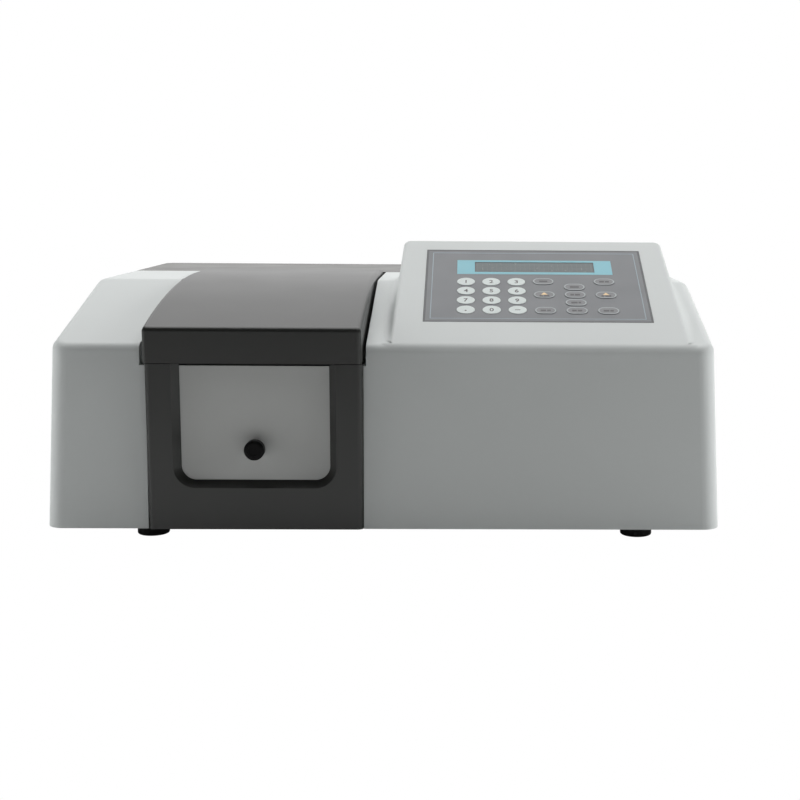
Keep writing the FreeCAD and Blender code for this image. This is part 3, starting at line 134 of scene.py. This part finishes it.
# Rail in the gap left of the lid; its height is taken a little beside the recess
RECESS_GAP = 5.0
RAIL_START = -165.0
RAIL_END = 50.7
RAIL_STEPS = 54
RAIL_CLEAR = 0.35
RAIL_DROP = 0.05
RAIL_BESIDE = 0.4

# A height above every part, from which the shell is looked at
ABOVE_ALL = 300

# Blend of the console's lower edge, which sinks into the housing on both sides of the console
CONSOLE_START = -167.3
CONSOLE_LEFT = 5.0
CONSOLE_RIGHT = 214.8
BLEND_FADE = 9
BLEND_SINK = 1.0
BLEND_THICK = 1.6
BLEND_STEPS = 12

# Opening of the front frame and its rounded lower corners
FRAME_BAND = 23.5
FRAME_FOOT = 34.7
FRAME_THICK = 5.7
BEVEL_ANGLE = math.radians(41)
BEVEL = FRAME_THICK * math.tan(BEVEL_ANGLE)
CORNER_RADIUS = 10.5
CORNER_OVERLAP = 0.4
CORNER_SETBACK = 0.02
CORNER_STEPS = 24


def make_camera():
    down, right, roll = (math.radians(turn) for turn in (CAMERA_DOWN, CAMERA_RIGHT, CAMERA_ROLL))
    ahead = Vector((math.sin(right) * math.cos(down), math.cos(right) * math.cos(down), -math.sin(down)))
    level = Vector((math.cos(right), -math.sin(right), 0))
    up = level.cross(ahead)
    across = level * math.cos(roll) + up * math.sin(roll)
    above = up * math.cos(roll) - level * math.sin(roll)
    turn = Matrix((across, above, -ahead)).transposed()
    data = bpy.data.cameras.new("camera")
    data.lens = CAMERA_LENS
    data.sensor_width = SENSOR_WIDTH
    data.shift_x, data.shift_y = CAMERA_SHIFT
    data.clip_end = SIGHT_IN_METRES
    camera = bpy.data.objects.new("camera", data)
    camera.matrix_world = Matrix.Translation(Vector(CAMERA_PLACE) * MM) @ turn.to_4x4()
    bpy.context.scene.collection.objects.link(camera)
    bpy.context.scene.camera = camera


# Building blocks of the materials
def shade(red, green, blue):
    """A linear colour from screen levels of 0 to 255."""
    levels = [channel / 255 for channel in (red, green, blue)]
    return tuple(c / 12.92 if c <= 0.04045 else ((c + 0.055) / 1.055) ** 2.4 for c in levels)


def grey(level):
    """A linear colour from a neutral screen level of 0 to 255."""
    return shade(level, level, level)


def scaled(colour, factor):
    return tuple(channel * factor for channel in colour)


def blank_material(name):
    """A new material and its shader."""
    material = bpy.data.materials.new(name)
    material.use_nodes = True
    return material, material.node_tree.nodes["Principled BSDF"]


def noise(tree, scale, detail=3.0, stretch=None):
    """Noise in the object's own coordinates, which stay with the piece when it moves."""
    source = tree.nodes.new("ShaderNodeTexCoord").outputs["Object"]
    if stretch:
        squeeze = tree.nodes.new("ShaderNodeMapping")
        squeeze.inputs["Scale"].default_value = stretch
        tree.links.new(source, squeeze.inputs["Vector"])
        source = squeeze.outputs["Vector"]
    cloud = tree.nodes.new("ShaderNodeTexNoise")
    cloud.inputs["Scale"].default_value = scale
    cloud.inputs["Detail"].default_value = detail
    tree.links.new(source, cloud.inputs["Vector"])
    return cloud.outputs["Fac"]


def ramp(tree, factor, low, high, start=0.35, end=0.65):
    """Colour that goes from low to high as the factor rises from start to end."""
    band = tree.nodes.new("ShaderNodeValToRGB")
    band.color_ramp.elements[0].position = start
    band.color_ramp.elements[1].position = end
    band.color_ramp.elements[0].color = (*low, 1)
    band.color_ramp.elements[1].color = (*high, 1)
    tree.links.new(factor, band.inputs["Fac"])
    return band.outputs["Color"]


def between(tree, factor, low, high, start=0.3, end=0.7):
    """A number that goes from low to high as the factor rises from start to end."""
    span = tree.nodes.new("ShaderNodeMapRange")
    span.inputs["From Min"].default_value = start
    span.inputs["From Max"].default_value = end
    span.inputs["To Min"].default_value = low
    span.inputs["To Max"].default_value = high
    tree.links.new(factor, span.inputs["Value"])
    return span.outputs["Result"]


def bumped(tree, shader, height, strength, depth):
    bump = tree.nodes.new("ShaderNodeBump")
    bump.inputs["Strength"].default_value = strength
    bump.inputs["Distance"].default_value = depth * MM
    tree.links.new(height, bump.inputs["Height"])
    tree.links.new(bump.outputs["Normal"], shader.inputs["Normal"])


def finish_surface(name, colour, spread, patch, rough, grain, bump, depth, metal=0.0, stretch=None,
                   level=0.5):
    """A finish with slow colour changes, uneven gloss and a fine grain."""
    material, shader = blank_material(name)
    tree = material.node_tree
    cloud = noise(tree, patch, detail=4.0)
    tone = ramp(tree, cloud, scaled(colour, 1 - spread), scaled(colour, 1 + spread))
    gloss = between(tree, noise(tree, patch * 4, detail=2.0), *rough)
    tree.links.new(tone, shader.inputs["Base Color"])
    tree.links.new(gloss, shader.inputs["Roughness"])
    shader.inputs["Metallic"].default_value = metal
    shader.inputs["Specular IOR Level"].default_value = level
    bumped(tree, shader, noise(tree, grain, detail=2.0, stretch=stretch), bump, depth)
    return material


# Materials, one for each slot
def light_shell():
    """Pale plastic of the upper housing."""
    return finish_surface("light_shell", shade(204, 208, 207), spread=0.012, patch=7, rough=(0.42, 0.48),
                          grain=2400, bump=0.10, depth=0.03, level=0.4)


def grey_shell():
    """Grey plastic of the rear hood."""
    return finish_surface("grey_shell", shade(100, 99, 97), spread=0.02, patch=7, rough=(0.42, 0.5),
                          grain=2400, bump=0.12, depth=0.03)


def dark_shell():
    """Dark plastic of the lid and of the front frame."""
    return finish_surface("dark_shell", shade(38, 39, 37), spread=0.02, patch=6, rough=(0.37, 0.39),
                          grain=2200, bump=0.12, depth=0.03, level=0.7)


def front_plate():
    """Smooth painted sheet in the opening of the front frame."""
    return finish_surface("front_plate", shade(189, 191, 189), spread=0.012, patch=10, rough=(0.38, 0.46),
                          grain=1800, bump=0.06, depth=0.02)


def black_plastic():
    """Black plastic of the knob and of the small parts at the back."""
    return finish_surface("black_plastic", grey(9), spread=0.08, patch=30, rough=(0.4, 0.5),
                          grain=2600, bump=0.12, depth=0.03, level=0.15)


def rubber():
    """Dull rubber of the feet."""
    return finish_surface("rubber", grey(27), spread=0.1, patch=60, rough=(0.62, 0.75),
                          grain=1800, bump=0.3, depth=0.06)


def steel_sheet():
    """Painted sheet of the base plate, the rear panel and the power supply."""
    return finish_surface("steel_sheet", shade(176, 177, 174), spread=0.02, patch=10, rough=(0.42, 0.52),
                          grain=1500, bump=0.14, depth=0.04)


def steel():
    """Bright steel of the rod, the hinge, the port and the screws, with a grain drawn out along X."""
    return finish_surface("steel", shade(182, 183, 185), spread=0.03, patch=60, rough=(0.3, 0.36),
                          grain=900, bump=0.03, depth=0.01, metal=1.0, stretch=(0.1, 1, 1))


def black_metal():
    """Dark coated metal of the sample chamber, the carriage, the motors and the filter wheel."""
    return finish_surface("black_metal", grey(56), spread=0.08, patch=22, rough=(0.42, 0.56),
                          grain=1500, bump=0.16, depth=0.03, metal=0.4)


def cast_metal():
    """Rough cast metal of the monochromator, the lamp house and the detector box."""
    return finish_surface("cast_metal", shade(150, 152, 154), spread=0.06, patch=30, rough=(0.38, 0.55),
                          grain=700, bump=0.3, depth=0.1, metal=0.9)


def mirror():
    """Polished front surface of the mirrors and the grating."""
    return finish_surface("mirror", grey(236), spread=0.01, patch=20, rough=(0.03, 0.06),
                          grain=300, bump=0.01, depth=0.01, metal=1.0)


def quartz():
    """Clear quartz of the windows and the lamps."""
    tint = (0.93, 0.95, 0.98)
    rough = 0.03
    material, shader = blank_material("quartz")
    tree = material.node_tree
    tone = ramp(tree, noise(tree, 40.0), scaled(tint, 0.97), tint)
    gloss = between(tree, noise(tree, 90.0), rough, rough * 1.6)
    tree.links.new(tone, shader.inputs["Base Color"])
    tree.links.new(gloss, shader.inputs["Roughness"])
    shader.inputs["Transmission Weight"].default_value = 0.9
    shader.inputs["IOR"].default_value = 1.46
    return material


def seal_foam():
    """Coarse dark foam of the lid's seal."""
    return finish_surface("seal_foam", grey(34), spread=0.12, patch=90, rough=(0.85, 0.95),
                          grain=1400, bump=0.6, depth=0.3)


def circuit_board():
    """Green boards of the electronics and of the keypad."""
    return finish_surface("circuit_board", shade(22, 92, 52), spread=0.15, patch=120, rough=(0.3, 0.5),
                          grain=900, bump=0.2, depth=0.04)


def overlay_film():
    """Grey film of the keypad."""
    return finish_surface("overlay_film", shade(99, 102, 106), spread=0.02, patch=14, rough=(0.34, 0.42),
                          grain=3000, bump=0.12, depth=0.02)


def display():
    """Smooth unlit glass of the display."""
    return finish_surface("display", shade(95, 104, 105), spread=0.03, patch=30, rough=(0.2, 0.28),
                          grain=1600, bump=0.03, depth=0.01, level=0.25)


def digit_key():
    """Pale film on the digit keys."""
    return finish_surface("digit_key", shade(208, 216, 214), spread=0.015, patch=40, rough=(0.36, 0.44),
                          grain=2600, bump=0.08, depth=0.02)


def menu_key():
    """Grey film on the menu keys."""
    return finish_surface("menu_key", shade(108, 109, 112), spread=0.02, patch=40, rough=(0.34, 0.42),
                          grain=2600, bump=0.08, depth=0.02)


def make_materials():
    """The material of every slot, by the slot's name."""
    return {
        "light_shell": light_shell(),
        "grey_shell": grey_shell(),
        "dark_shell": dark_shell(),
        "front_plate": front_plate(),
        "black_plastic": black_plastic(),
        "rubber": rubber(),
        "steel_sheet": steel_sheet(),
        "steel": steel(),
        "black_metal": black_metal(),
        "cast_metal": cast_metal(),
        "mirror": mirror(),
        "quartz": quartz(),
        "seal_foam": seal_foam(),
        "circuit_board": circuit_board(),
        "overlay_film": overlay_film(),
        "display": display(),
        "digit_key": digit_key(),
        "menu_key": menu_key(),
    }


def ink(name, colour, spread=0.04, patch=60, rough=(0.34, 0.42), grain=3000, bump=0.06, level=0.5):
    """A printed colour with a little unevenness."""
    return finish_surface(name, colour, spread, patch, rough, grain, bump, depth=0.01, level=level)


def make_inks():
    """The printed colours, by what they are used for."""
    return {
        "dark": ink("dark_print", shade(54, 57, 60)),
        "legend": ink("legend_print", shade(36, 37, 40)),
        "line": ink("line_print", shade(138, 154, 162), spread=0.03),
        "pale": ink("pale_print", shade(158, 165, 167), spread=0.03),
        "blue": ink("blue_print", shade(114, 181, 195), spread=0.02, patch=40),
        "cell": ink("cell_print", shade(89, 99, 100), spread=0.03, rough=(0.2, 0.28), grain=1600, bump=0.03,
                    level=0.25),
        "digit": ink("digit_print", shade(62, 52, 52), spread=0.05, patch=90, rough=(0.36, 0.44)),
        "warm": ink("warm_print", shade(240, 205, 150), patch=90),
    }


def dress_nodes(materials):
    """Gives every node of the frame the material of its slot."""
    for part in frame["record"]["subparts"]:
        node = frame["nodes"][part["node"]]
        if not node.material_slots:
            node.data.materials.append(None)
        for place in node.material_slots:
            place.material = materials[part["material_slot"]]


# Floor, backdrop and light
def seen_by_camera(tree, seen, other, output):
    """Shows one shader to the camera and the other one to every other ray."""
    mix = tree.nodes.new("ShaderNodeMixShader")
    ray = tree.nodes.new("ShaderNodeLightPath")
    tree.links.new(ray.outputs["Is Camera Ray"], mix.inputs["Fac"])
    tree.links.new(other.outputs[0], mix.inputs[1])
    tree.links.new(seen.outputs[0], mix.inputs[2])
    tree.links.new(mix.outputs[0], output.inputs["Surface"])


def floor_material():
    """An even white for the camera, and a pale lit floor for every other ray."""
    material, shader = blank_material("floor")
    tree = material.node_tree
    pale = ramp(tree, noise(tree, 2.0), (0.86, 0.86, 0.86), (0.88, 0.88, 0.88))
    tree.links.new(pale, shader.inputs["Base Color"])
    shader.inputs["Roughness"].default_value = 0.9
    shader.inputs["Emission Color"].default_value = (1, 1, 1, 1)
    shader.inputs["Emission Strength"].default_value = FLOOR_GLOW
    white = tree.nodes.new("ShaderNodeEmission")
    white.inputs["Strength"].default_value = 1.0
    seen_by_camera(tree, white, shader, tree.nodes["Material Output"])
    return material


def make_floor():
    outline = corners((-FLOOR_HALF, -FLOOR_HALF, FLOOR_HALF, FLOOR_HALF))
    mesh = bpy.data.meshes.new("floor")
    mesh.from_pydata([(x, y, 0) for x, y in outline], [], [(0, 1, 2, 3)])
    mesh.materials.append(floor_material())
    floor = bpy.data.objects.new("floor", mesh)
    bpy.context.scene.collection.objects.link(floor)


def make_backdrop():
    """White all round for the camera, and a faint even glow for every other ray."""
    world = bpy.data.worlds.new("studio")
    world.use_nodes = True
    tree = world.node_tree
    faint = tree.nodes["Background"]
    faint.inputs["Color"].default_value = (1, 1, 1, 1)
    faint.inputs["Strength"].default_value = BACKDROP_GLOW
    white = tree.nodes.new("ShaderNodeBackground")
    white.inputs["Color"].default_value = (1, 1, 1, 1)
    white.inputs["Strength"].default_value = 1.0
    seen_by_camera(tree, white, faint, tree.nodes["World Output"])
    bpy.context.scene.world = world


def soft_lamp(name, place, target, width, depth, power, mirrored=True):
    """A large soft light; one that isn't mirrored leaves no bright image on glossy faces."""
    data = bpy.data.lights.new(name, "AREA")
    data.shape = "RECTANGLE"
    data.size = width
    data.size_y = depth
    data.energy = power
    lamp = bpy.data.objects.new(name, data)
    lamp.location = place
    lamp.rotation_euler = (Vector(target) - Vector(place)).to_track_quat("-Z", "Y").to_euler()
    lamp.visible_camera = False
    lamp.visible_glossy = mirrored
    bpy.context.scene.collection.objects.link(lamp)


def make_lights():
    """A lamp above, one on each side and a wide one behind, all turned to the middle of the object."""
    middle = (0, 0, 0.1)
    upper_middle = (0, 0, 0.15)
    soft_lamp("top_light", (0.0, 0.4, 1.7), middle, width=2.2, depth=1.6, power=27.2)
    soft_lamp("left_light", (-1.7, -0.1, 0.5), middle, width=1.2, depth=1.2, power=17.2, mirrored=False)
    soft_lamp("right_light", (1.7, -0.15, 0.5), middle, width=1.2, depth=1.2, power=23.2, mirrored=False)
    soft_lamp("back_light", (0.0, 2.6, 1.3), upper_middle, width=4.0, depth=2.4, power=38)


# Places taken from the frame
def measured(name, view=FROM_METRES):
    """Lowest and highest corner of a node in millimetres, along the frame's axes or another plane's."""
    points = [view @ vertex.co for vertex in frame["nodes"][name].data.vertices]
    low = [min(point[axis] for point in points) for axis in range(3)]
    high = [max(point[axis] for point in points) for axis in range(3)]
    return Vector(low), Vector(high)


def rectangle_of(name):
    """Left, low, right and high of a node in the keypad plane."""
    low, high = measured(name, TO_PANEL)
    return low.x, low.y, high.x, high.y


def middle_of(rectangle):
    left, low, right, high = rectangle
    return (left + right) / 2, (low + high) / 2


def shell_height(x, y):
    """Height of the upper housing at a place, found by looking straight down on it."""
    seen = frame["nodes"]["upper_housing"].ray_cast((x * MM, y * MM, ABOVE_ALL * MM), (0, 0, -1))
    return seen[1].z / MM


# Flat outlines
def grown(rectangle, by):
    """A rectangle with its four sides moved out, or in where the amount is negative."""
    left, low, right, high = rectangle
    return left - by, low - by, right + by, high + by


def corners(rectangle):
    left, low, right, high = rectangle
    return [(left, low), (right, low), (right, high), (left, high)]


def rectangle_at(x, y, size):
    """A rectangle with its middle at a place."""
    half_x, half_y = size[0] / 2, size[1] / 2
    return x - half_x, y - half_y, x + half_x, y + half_y


def frame_line(rectangle, width):
    """The two outlines of a line that runs inside a rectangle."""
    return [corners(rectangle), corners(grown(rectangle, -width))]


def circle_line(x, y, radius, points=48):
    turns = [2 * math.pi * i / points for i in range(points)]
    return [(x + radius * math.cos(turn), y + radius * math.sin(turn)) for turn in turns]


def stadium_line(x, y, length, width, points=24):
    """A bar with round ends."""
    reach, radius = (length - width) / 2, width / 2
    line = []
    for side in (1, -1):
        for i in range(points + 1):
            turn = math.pi * (i / points - 0.5)
            line.append((x + side * (reach + radius * math.cos(turn)), y + side * radius * math.sin(turn)))
    return line


# Meshes
def curve_to_mesh(name, curve, height):
    """The mesh of a curve, lifted to a height; the curve itself is removed."""
    holder = bpy.data.objects.new(name, curve)
    bpy.context.scene.collection.objects.link(holder)
    bpy.context.view_layer.update()
    mesh = bpy.data.meshes.new_from_object(holder.evaluated_get(bpy.context.evaluated_depsgraph_get()))
    bpy.data.objects.remove(holder)
    bpy.data.curves.remove(curve)
    mesh.transform(Matrix.Translation((0, 0, height)))
    return mesh


def flat_mesh(name, outlines, low):
    """A print with the given outlines, inner ones cut out, standing from low upwards."""
    curve = bpy.data.curves.new(name, "CURVE")
    curve.dimensions = "2D"
    curve.fill_mode = "BOTH"
    curve.extrude = PRINT_THICK / 2
    for outline in outlines:
        spline = curve.splines.new("POLY")
        spline.points.add(len(outline) - 1)
        for point, (x, y) in zip(spline.points, outline):
            point.co = (x, y, 0, 1)
        spline.use_cyclic_u = True
    return curve_to_mesh(name, curve, low + PRINT_THICK / 2)


def digit_mesh(name, digit, x, y, low):
    """A printed digit with its middle at a place, standing from low upwards."""
    text = bpy.data.curves.new(name, "FONT")
    text.body = digit
    text.size = DIGIT_SIZE
    text.offset = DIGIT_SWELL
    text.extrude = PRINT_THICK / 2
    mesh = curve_to_mesh(name, text, low + PRINT_THICK / 2)
    xs = [vertex.co.x for vertex in mesh.vertices]
    ys = [vertex.co.y for vertex in mesh.vertices]
    mesh.transform(Matrix.Translation((x - (min(xs) + max(xs)) / 2, y - (min(ys) + max(ys)) / 2, 0)))
    return mesh


def bars_mesh(name, boxes):
    """Plain boxes given by two corners each, as one mesh."""
    points, faces = [], []
    for low, high in boxes:
        first = len(points)
        points += [(x, y, z) for x in (low[0], high[0]) for y in (low[1], high[1]) for z in (low[2], high[2])]
        for face in ((0, 1, 3, 2), (4, 6, 7, 5), (0, 4, 5, 1), (2, 3, 7, 6), (0, 2, 6, 4), (1, 5, 7, 3)):
            faces.append([first + corner for corner in face])
    mesh = bpy.data.meshes.new(name)
    mesh.from_pydata(points, [], faces)
    return mesh


def lofted(name, loops):
    """A solid through outlines that all have the same number of points."""
    count = len(loops[0])
    last = (len(loops) - 1) * count
    faces = [list(range(count)), [last + i for i in range(count)]]
    for first in range(0, last, count):
        for i in range(count):
            after = (i + 1) % count
            faces.append([first + i, first + count + i, first + count + after, first + after])
    mesh = bpy.data.meshes.new(name)
    mesh.from_pydata([point for loop in loops for point in loop], [], faces)
    solid = bmesh.new()
    solid.from_mesh(mesh)
    bmesh.ops.recalc_face_normals(solid, faces=solid.faces)
    solid.to_mesh(mesh)
    solid.free()
    return mesh


# Pieces
def add_piece(name, mesh, place, material, body):
    """One piece of the model, laid in place and carried by a body."""
    mesh.name = name
    mesh.transform(place)
    mesh.materials.clear()
    mesh.materials.append(material)
    piece = bpy.data.objects.new(name, mesh)
    bpy.context.scene.collection.objects.link(piece)
    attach(piece, body)


def printed(name, outlines, material, body="housing", low=0.0):
    """One print in the keypad plane."""
    add_piece(name, flat_mesh(name, outlines, low), ON_PANEL, material, body)


def add_to_housing(name, mesh, materials, slot):
    """One piece along the frame's axes, with the material of its slot."""
    add_piece(name, mesh, TO_METRES, materials[slot], "housing")


def print_overlay(inks):
    """A dark rim, a thin line inside it and a blue bar round the window."""
    film = rectangle_of("keypad_overlay")
    bar = [corners(BLUE_BAR), corners(grown(WINDOW, WINDOW_GAP))]
    printed("overlay_rim", frame_line(grown(film, -RIM_INSET), RIM_WIDTH), inks["dark"])
    printed("overlay_line", frame_line(BORDER, BORDER_WIDTH), inks["line"])
    printed("display_bar", bar, inks["blue"])


def print_display(inks):
    """A dark border behind the window and two rows of faint character cells."""
    middle_x, middle_y = middle_of(WINDOW)
    cells = []
    for row in range(CELL_ROWS):
        for column in range(CELL_COLUMNS):
            x = middle_x + (column - (CELL_COLUMNS - 1) / 2) * CELL_PITCH[0]
            y = middle_y + ((CELL_ROWS - 1) / 2 - row) * CELL_PITCH[1]
            cells.append(corners(rectangle_at(x, y, CELL_SIZE)))
    printed("display_border", frame_line(WINDOW, GLASS_BORDER), inks["dark"], low=GLASS_TOP)
    printed("display_cells", cells, inks["cell"], low=GLASS_TOP)


def print_digits(inks):
    """The digits, a point and a minus, each on its own key."""
    for key in DIGIT_KEYS:
        name = f"print_{key}"
        x, y = middle_of(rectangle_of(f"key_{key}"))
        if key == "point":
            mesh = flat_mesh(name, [circle_line(x, y - POINT_DROP, POINT_RADIUS)], KEY_TOP)
        elif key == "minus":
            mesh = flat_mesh(name, [corners(rectangle_at(x, y, MINUS_SIZE))], KEY_TOP)
        else:
            mesh = digit_mesh(name, key, x, y, KEY_TOP)
        add_piece(name, mesh, ON_PANEL, inks["digit"], f"key_{key}_body")


def legend_bars(x, y, lengths):
    """Bars in a row with its middle at a place."""
    start = x - (sum(lengths) + LEGEND_GAP * (len(lengths) - 1)) / 2
    bars = []
    for length in lengths:
        bars.append(corners((start, y + LEGEND_LOW, start + length, y + LEGEND_HIGH)))
        start += length + LEGEND_GAP
    return bars


def print_menu_keys(inks):
    """A pale ring with a dark legend on each key, and two keys with a warm mark over the legend."""
    for number, lengths in enumerate(LEGENDS, 1):
        key = f"menu_key_{number}"
        body = f"{key}_body"
        x, y = middle_of(rectangle_of(key))
        marked = number in MARKED_KEYS
        ring = [stadium_line(x, y, RING_LENGTH, RING_WIDTH),
                stadium_line(x, y, RING_LENGTH - 2 * RING_LINE, RING_WIDTH - 2 * RING_LINE)]
        word = legend_bars(x, y - LEGEND_DROP if marked else y, lengths)
        printed(f"key_ring_{number}", ring, inks["pale"], body, KEY_TOP)
        printed(f"key_word_{number}", word, inks["legend"], body, KEY_TOP)
        if marked:
            mark = [(x - MARK_HALF, y + MARK_LOW), (x + MARK_HALF, y + MARK_LOW), (x, y + MARK_HIGH)]
            printed(f"key_mark_{number}", [mark], inks["warm"], body, KEY_TOP)


def rear_bar(x, z, size, start, end):
    """Two corners of a bar that runs from start to end along Y, with its middle at x and z."""
    left, low, right, high = rectangle_at(x, z, size)
    return (left, start, low), (right, end, high)


def paint_cross_shade(materials):
    """Cross recesses of the screws, shown as black bars on their heads that paint the shade inside the
    recesses.
    """
    head = measured("cover_screws")[1].y
    sizes = ((CROSS_LENGTH, CROSS_WIDTH), (CROSS_WIDTH, CROSS_LENGTH))
    bars = [rear_bar(x, z, size, head - CROSS_SINK, head + rise)
            for x in SCREW_COLUMNS for z in SCREW_ROWS for size, rise in zip(sizes, CROSS_RISES)]
    # Black plastic on the steel heads: painted shade of the recesses, not a colour of the screws
    add_to_housing("screw_cross_shade", bars_mesh("screw_cross_shade", bars), materials, "black_plastic")


def fill_inlet(materials):
    """The three metal contacts of the inlet."""
    back = measured("rear_panel")[1].y
    low, high = measured("power_inlet")
    middle = (low + high) / 2
    bars = [rear_bar(middle.x + x, middle.z + z, CONTACT_SIZE, back + CONTACT_START, back + CONTACT_END)
            for x, z in CONTACT_PLACES]
    add_to_housing("inlet_contacts", bars_mesh("inlet_contacts", bars), materials, "steel")


def close_recess(materials):
    """A rail that closes the gap left of the lid and follows the height of the shell beside it."""
    right = measured("chamber_lid")[0].x
    left = right - RECESS_GAP
    places = [RAIL_START + (RAIL_END - RAIL_START) * i / RAIL_STEPS for i in range(RAIL_STEPS + 1)]
    profile = [(y, shell_height(left - RAIL_BESIDE, y) - RAIL_DROP) for y in places]
    profile += [(RAIL_END, DECK_HEIGHT), (RAIL_START, DECK_HEIGHT)]
    loops = [[(x, y, z) for y, z in profile] for x in (left, right - RAIL_CLEAR)]
    add_to_housing("recess_rail", lofted("recess_rail", loops), materials, "light_shell")


def blend_console(materials):
    """A soft edge that carries the console's slope over the front edge of the housing."""
    corner = Vector((FRONT_EDGE, FRONT_HEIGHT))
    along = Vector((math.cos(TILT), math.sin(TILT)))
    reach = (CONSOLE_START - corner.x) / along.x
    sweep = math.pi / 2 - DRAFT - TILT
    radius = reach / math.tan(sweep / 2)
    centre = corner + along * reach + Vector((along.y, -along.x)) * radius
    turns = [math.pi / 2 + TILT + sweep * i / BLEND_STEPS for i in range(BLEND_STEPS + 1)]

    def arc(x, size, angles):
        return [(x, centre.x + size * math.cos(turn), centre.y + size * math.sin(turn)) for turn in angles]

    fades = range(BLEND_FADE + 1)
    sections = [(CONSOLE_LEFT - BLEND_FADE + i, 1 - i / BLEND_FADE) for i in fades]
    sections += [(CONSOLE_RIGHT + i, i / BLEND_FADE) for i in fades]
    loops = [arc(x, radius - BLEND_SINK * fade ** 2, turns) + arc(x, radius - BLEND_THICK, reversed(turns))
             for x, fade in sections]
    add_to_housing("console_blend", lofted("console_blend", loops), materials, "light_shell")


def round_opening(materials):
    """Rounded lower corners of the frame's opening, widening to the front with its bevel."""
    low, high = measured("front_frame")
    centre_z = low.z + FRAME_FOOT + CORNER_RADIUS
    turns = [math.pi / 2 * i / CORNER_STEPS for i in range(CORNER_STEPS + 1)]
    for name, edge, side in (("left", low.x + FRAME_BAND, 1), ("right", high.x - FRAME_BAND, -1)):
        centre_x = edge + side * CORNER_RADIUS
        loops = []
        for y, grow in ((low.y + CORNER_SETBACK, BEVEL), (low.y + FRAME_THICK, 0)):
            reach = CORNER_RADIUS + grow
            outside = reach + CORNER_OVERLAP
            loop = [(centre_x - side * outside, y, centre_z - outside)]
            loop += [(centre_x - side * reach * math.cos(turn), y, centre_z - reach * math.sin(turn))
                     for turn in turns]
            loops.append(loop)
        piece = f"opening_corner_{name}"
        add_to_housing(piece, lofted(piece, loops), materials, "dark_shell")


make_camera()
make_floor()
make_backdrop()
make_lights()
MATERIALS = make_materials()
dress_nodes(MATERIALS)
INKS = make_inks()
print_overlay(INKS)
print_display(INKS)
print_digits(INKS)
print_menu_keys(INKS)
paint_cross_shade(MATERIALS)
fill_inlet(MATERIALS)
close_recess(MATERIALS)
blend_console(MATERIALS)
round_opening(MATERIALS)

bpy.context.scene.view_settings.view_transform = "Standard"
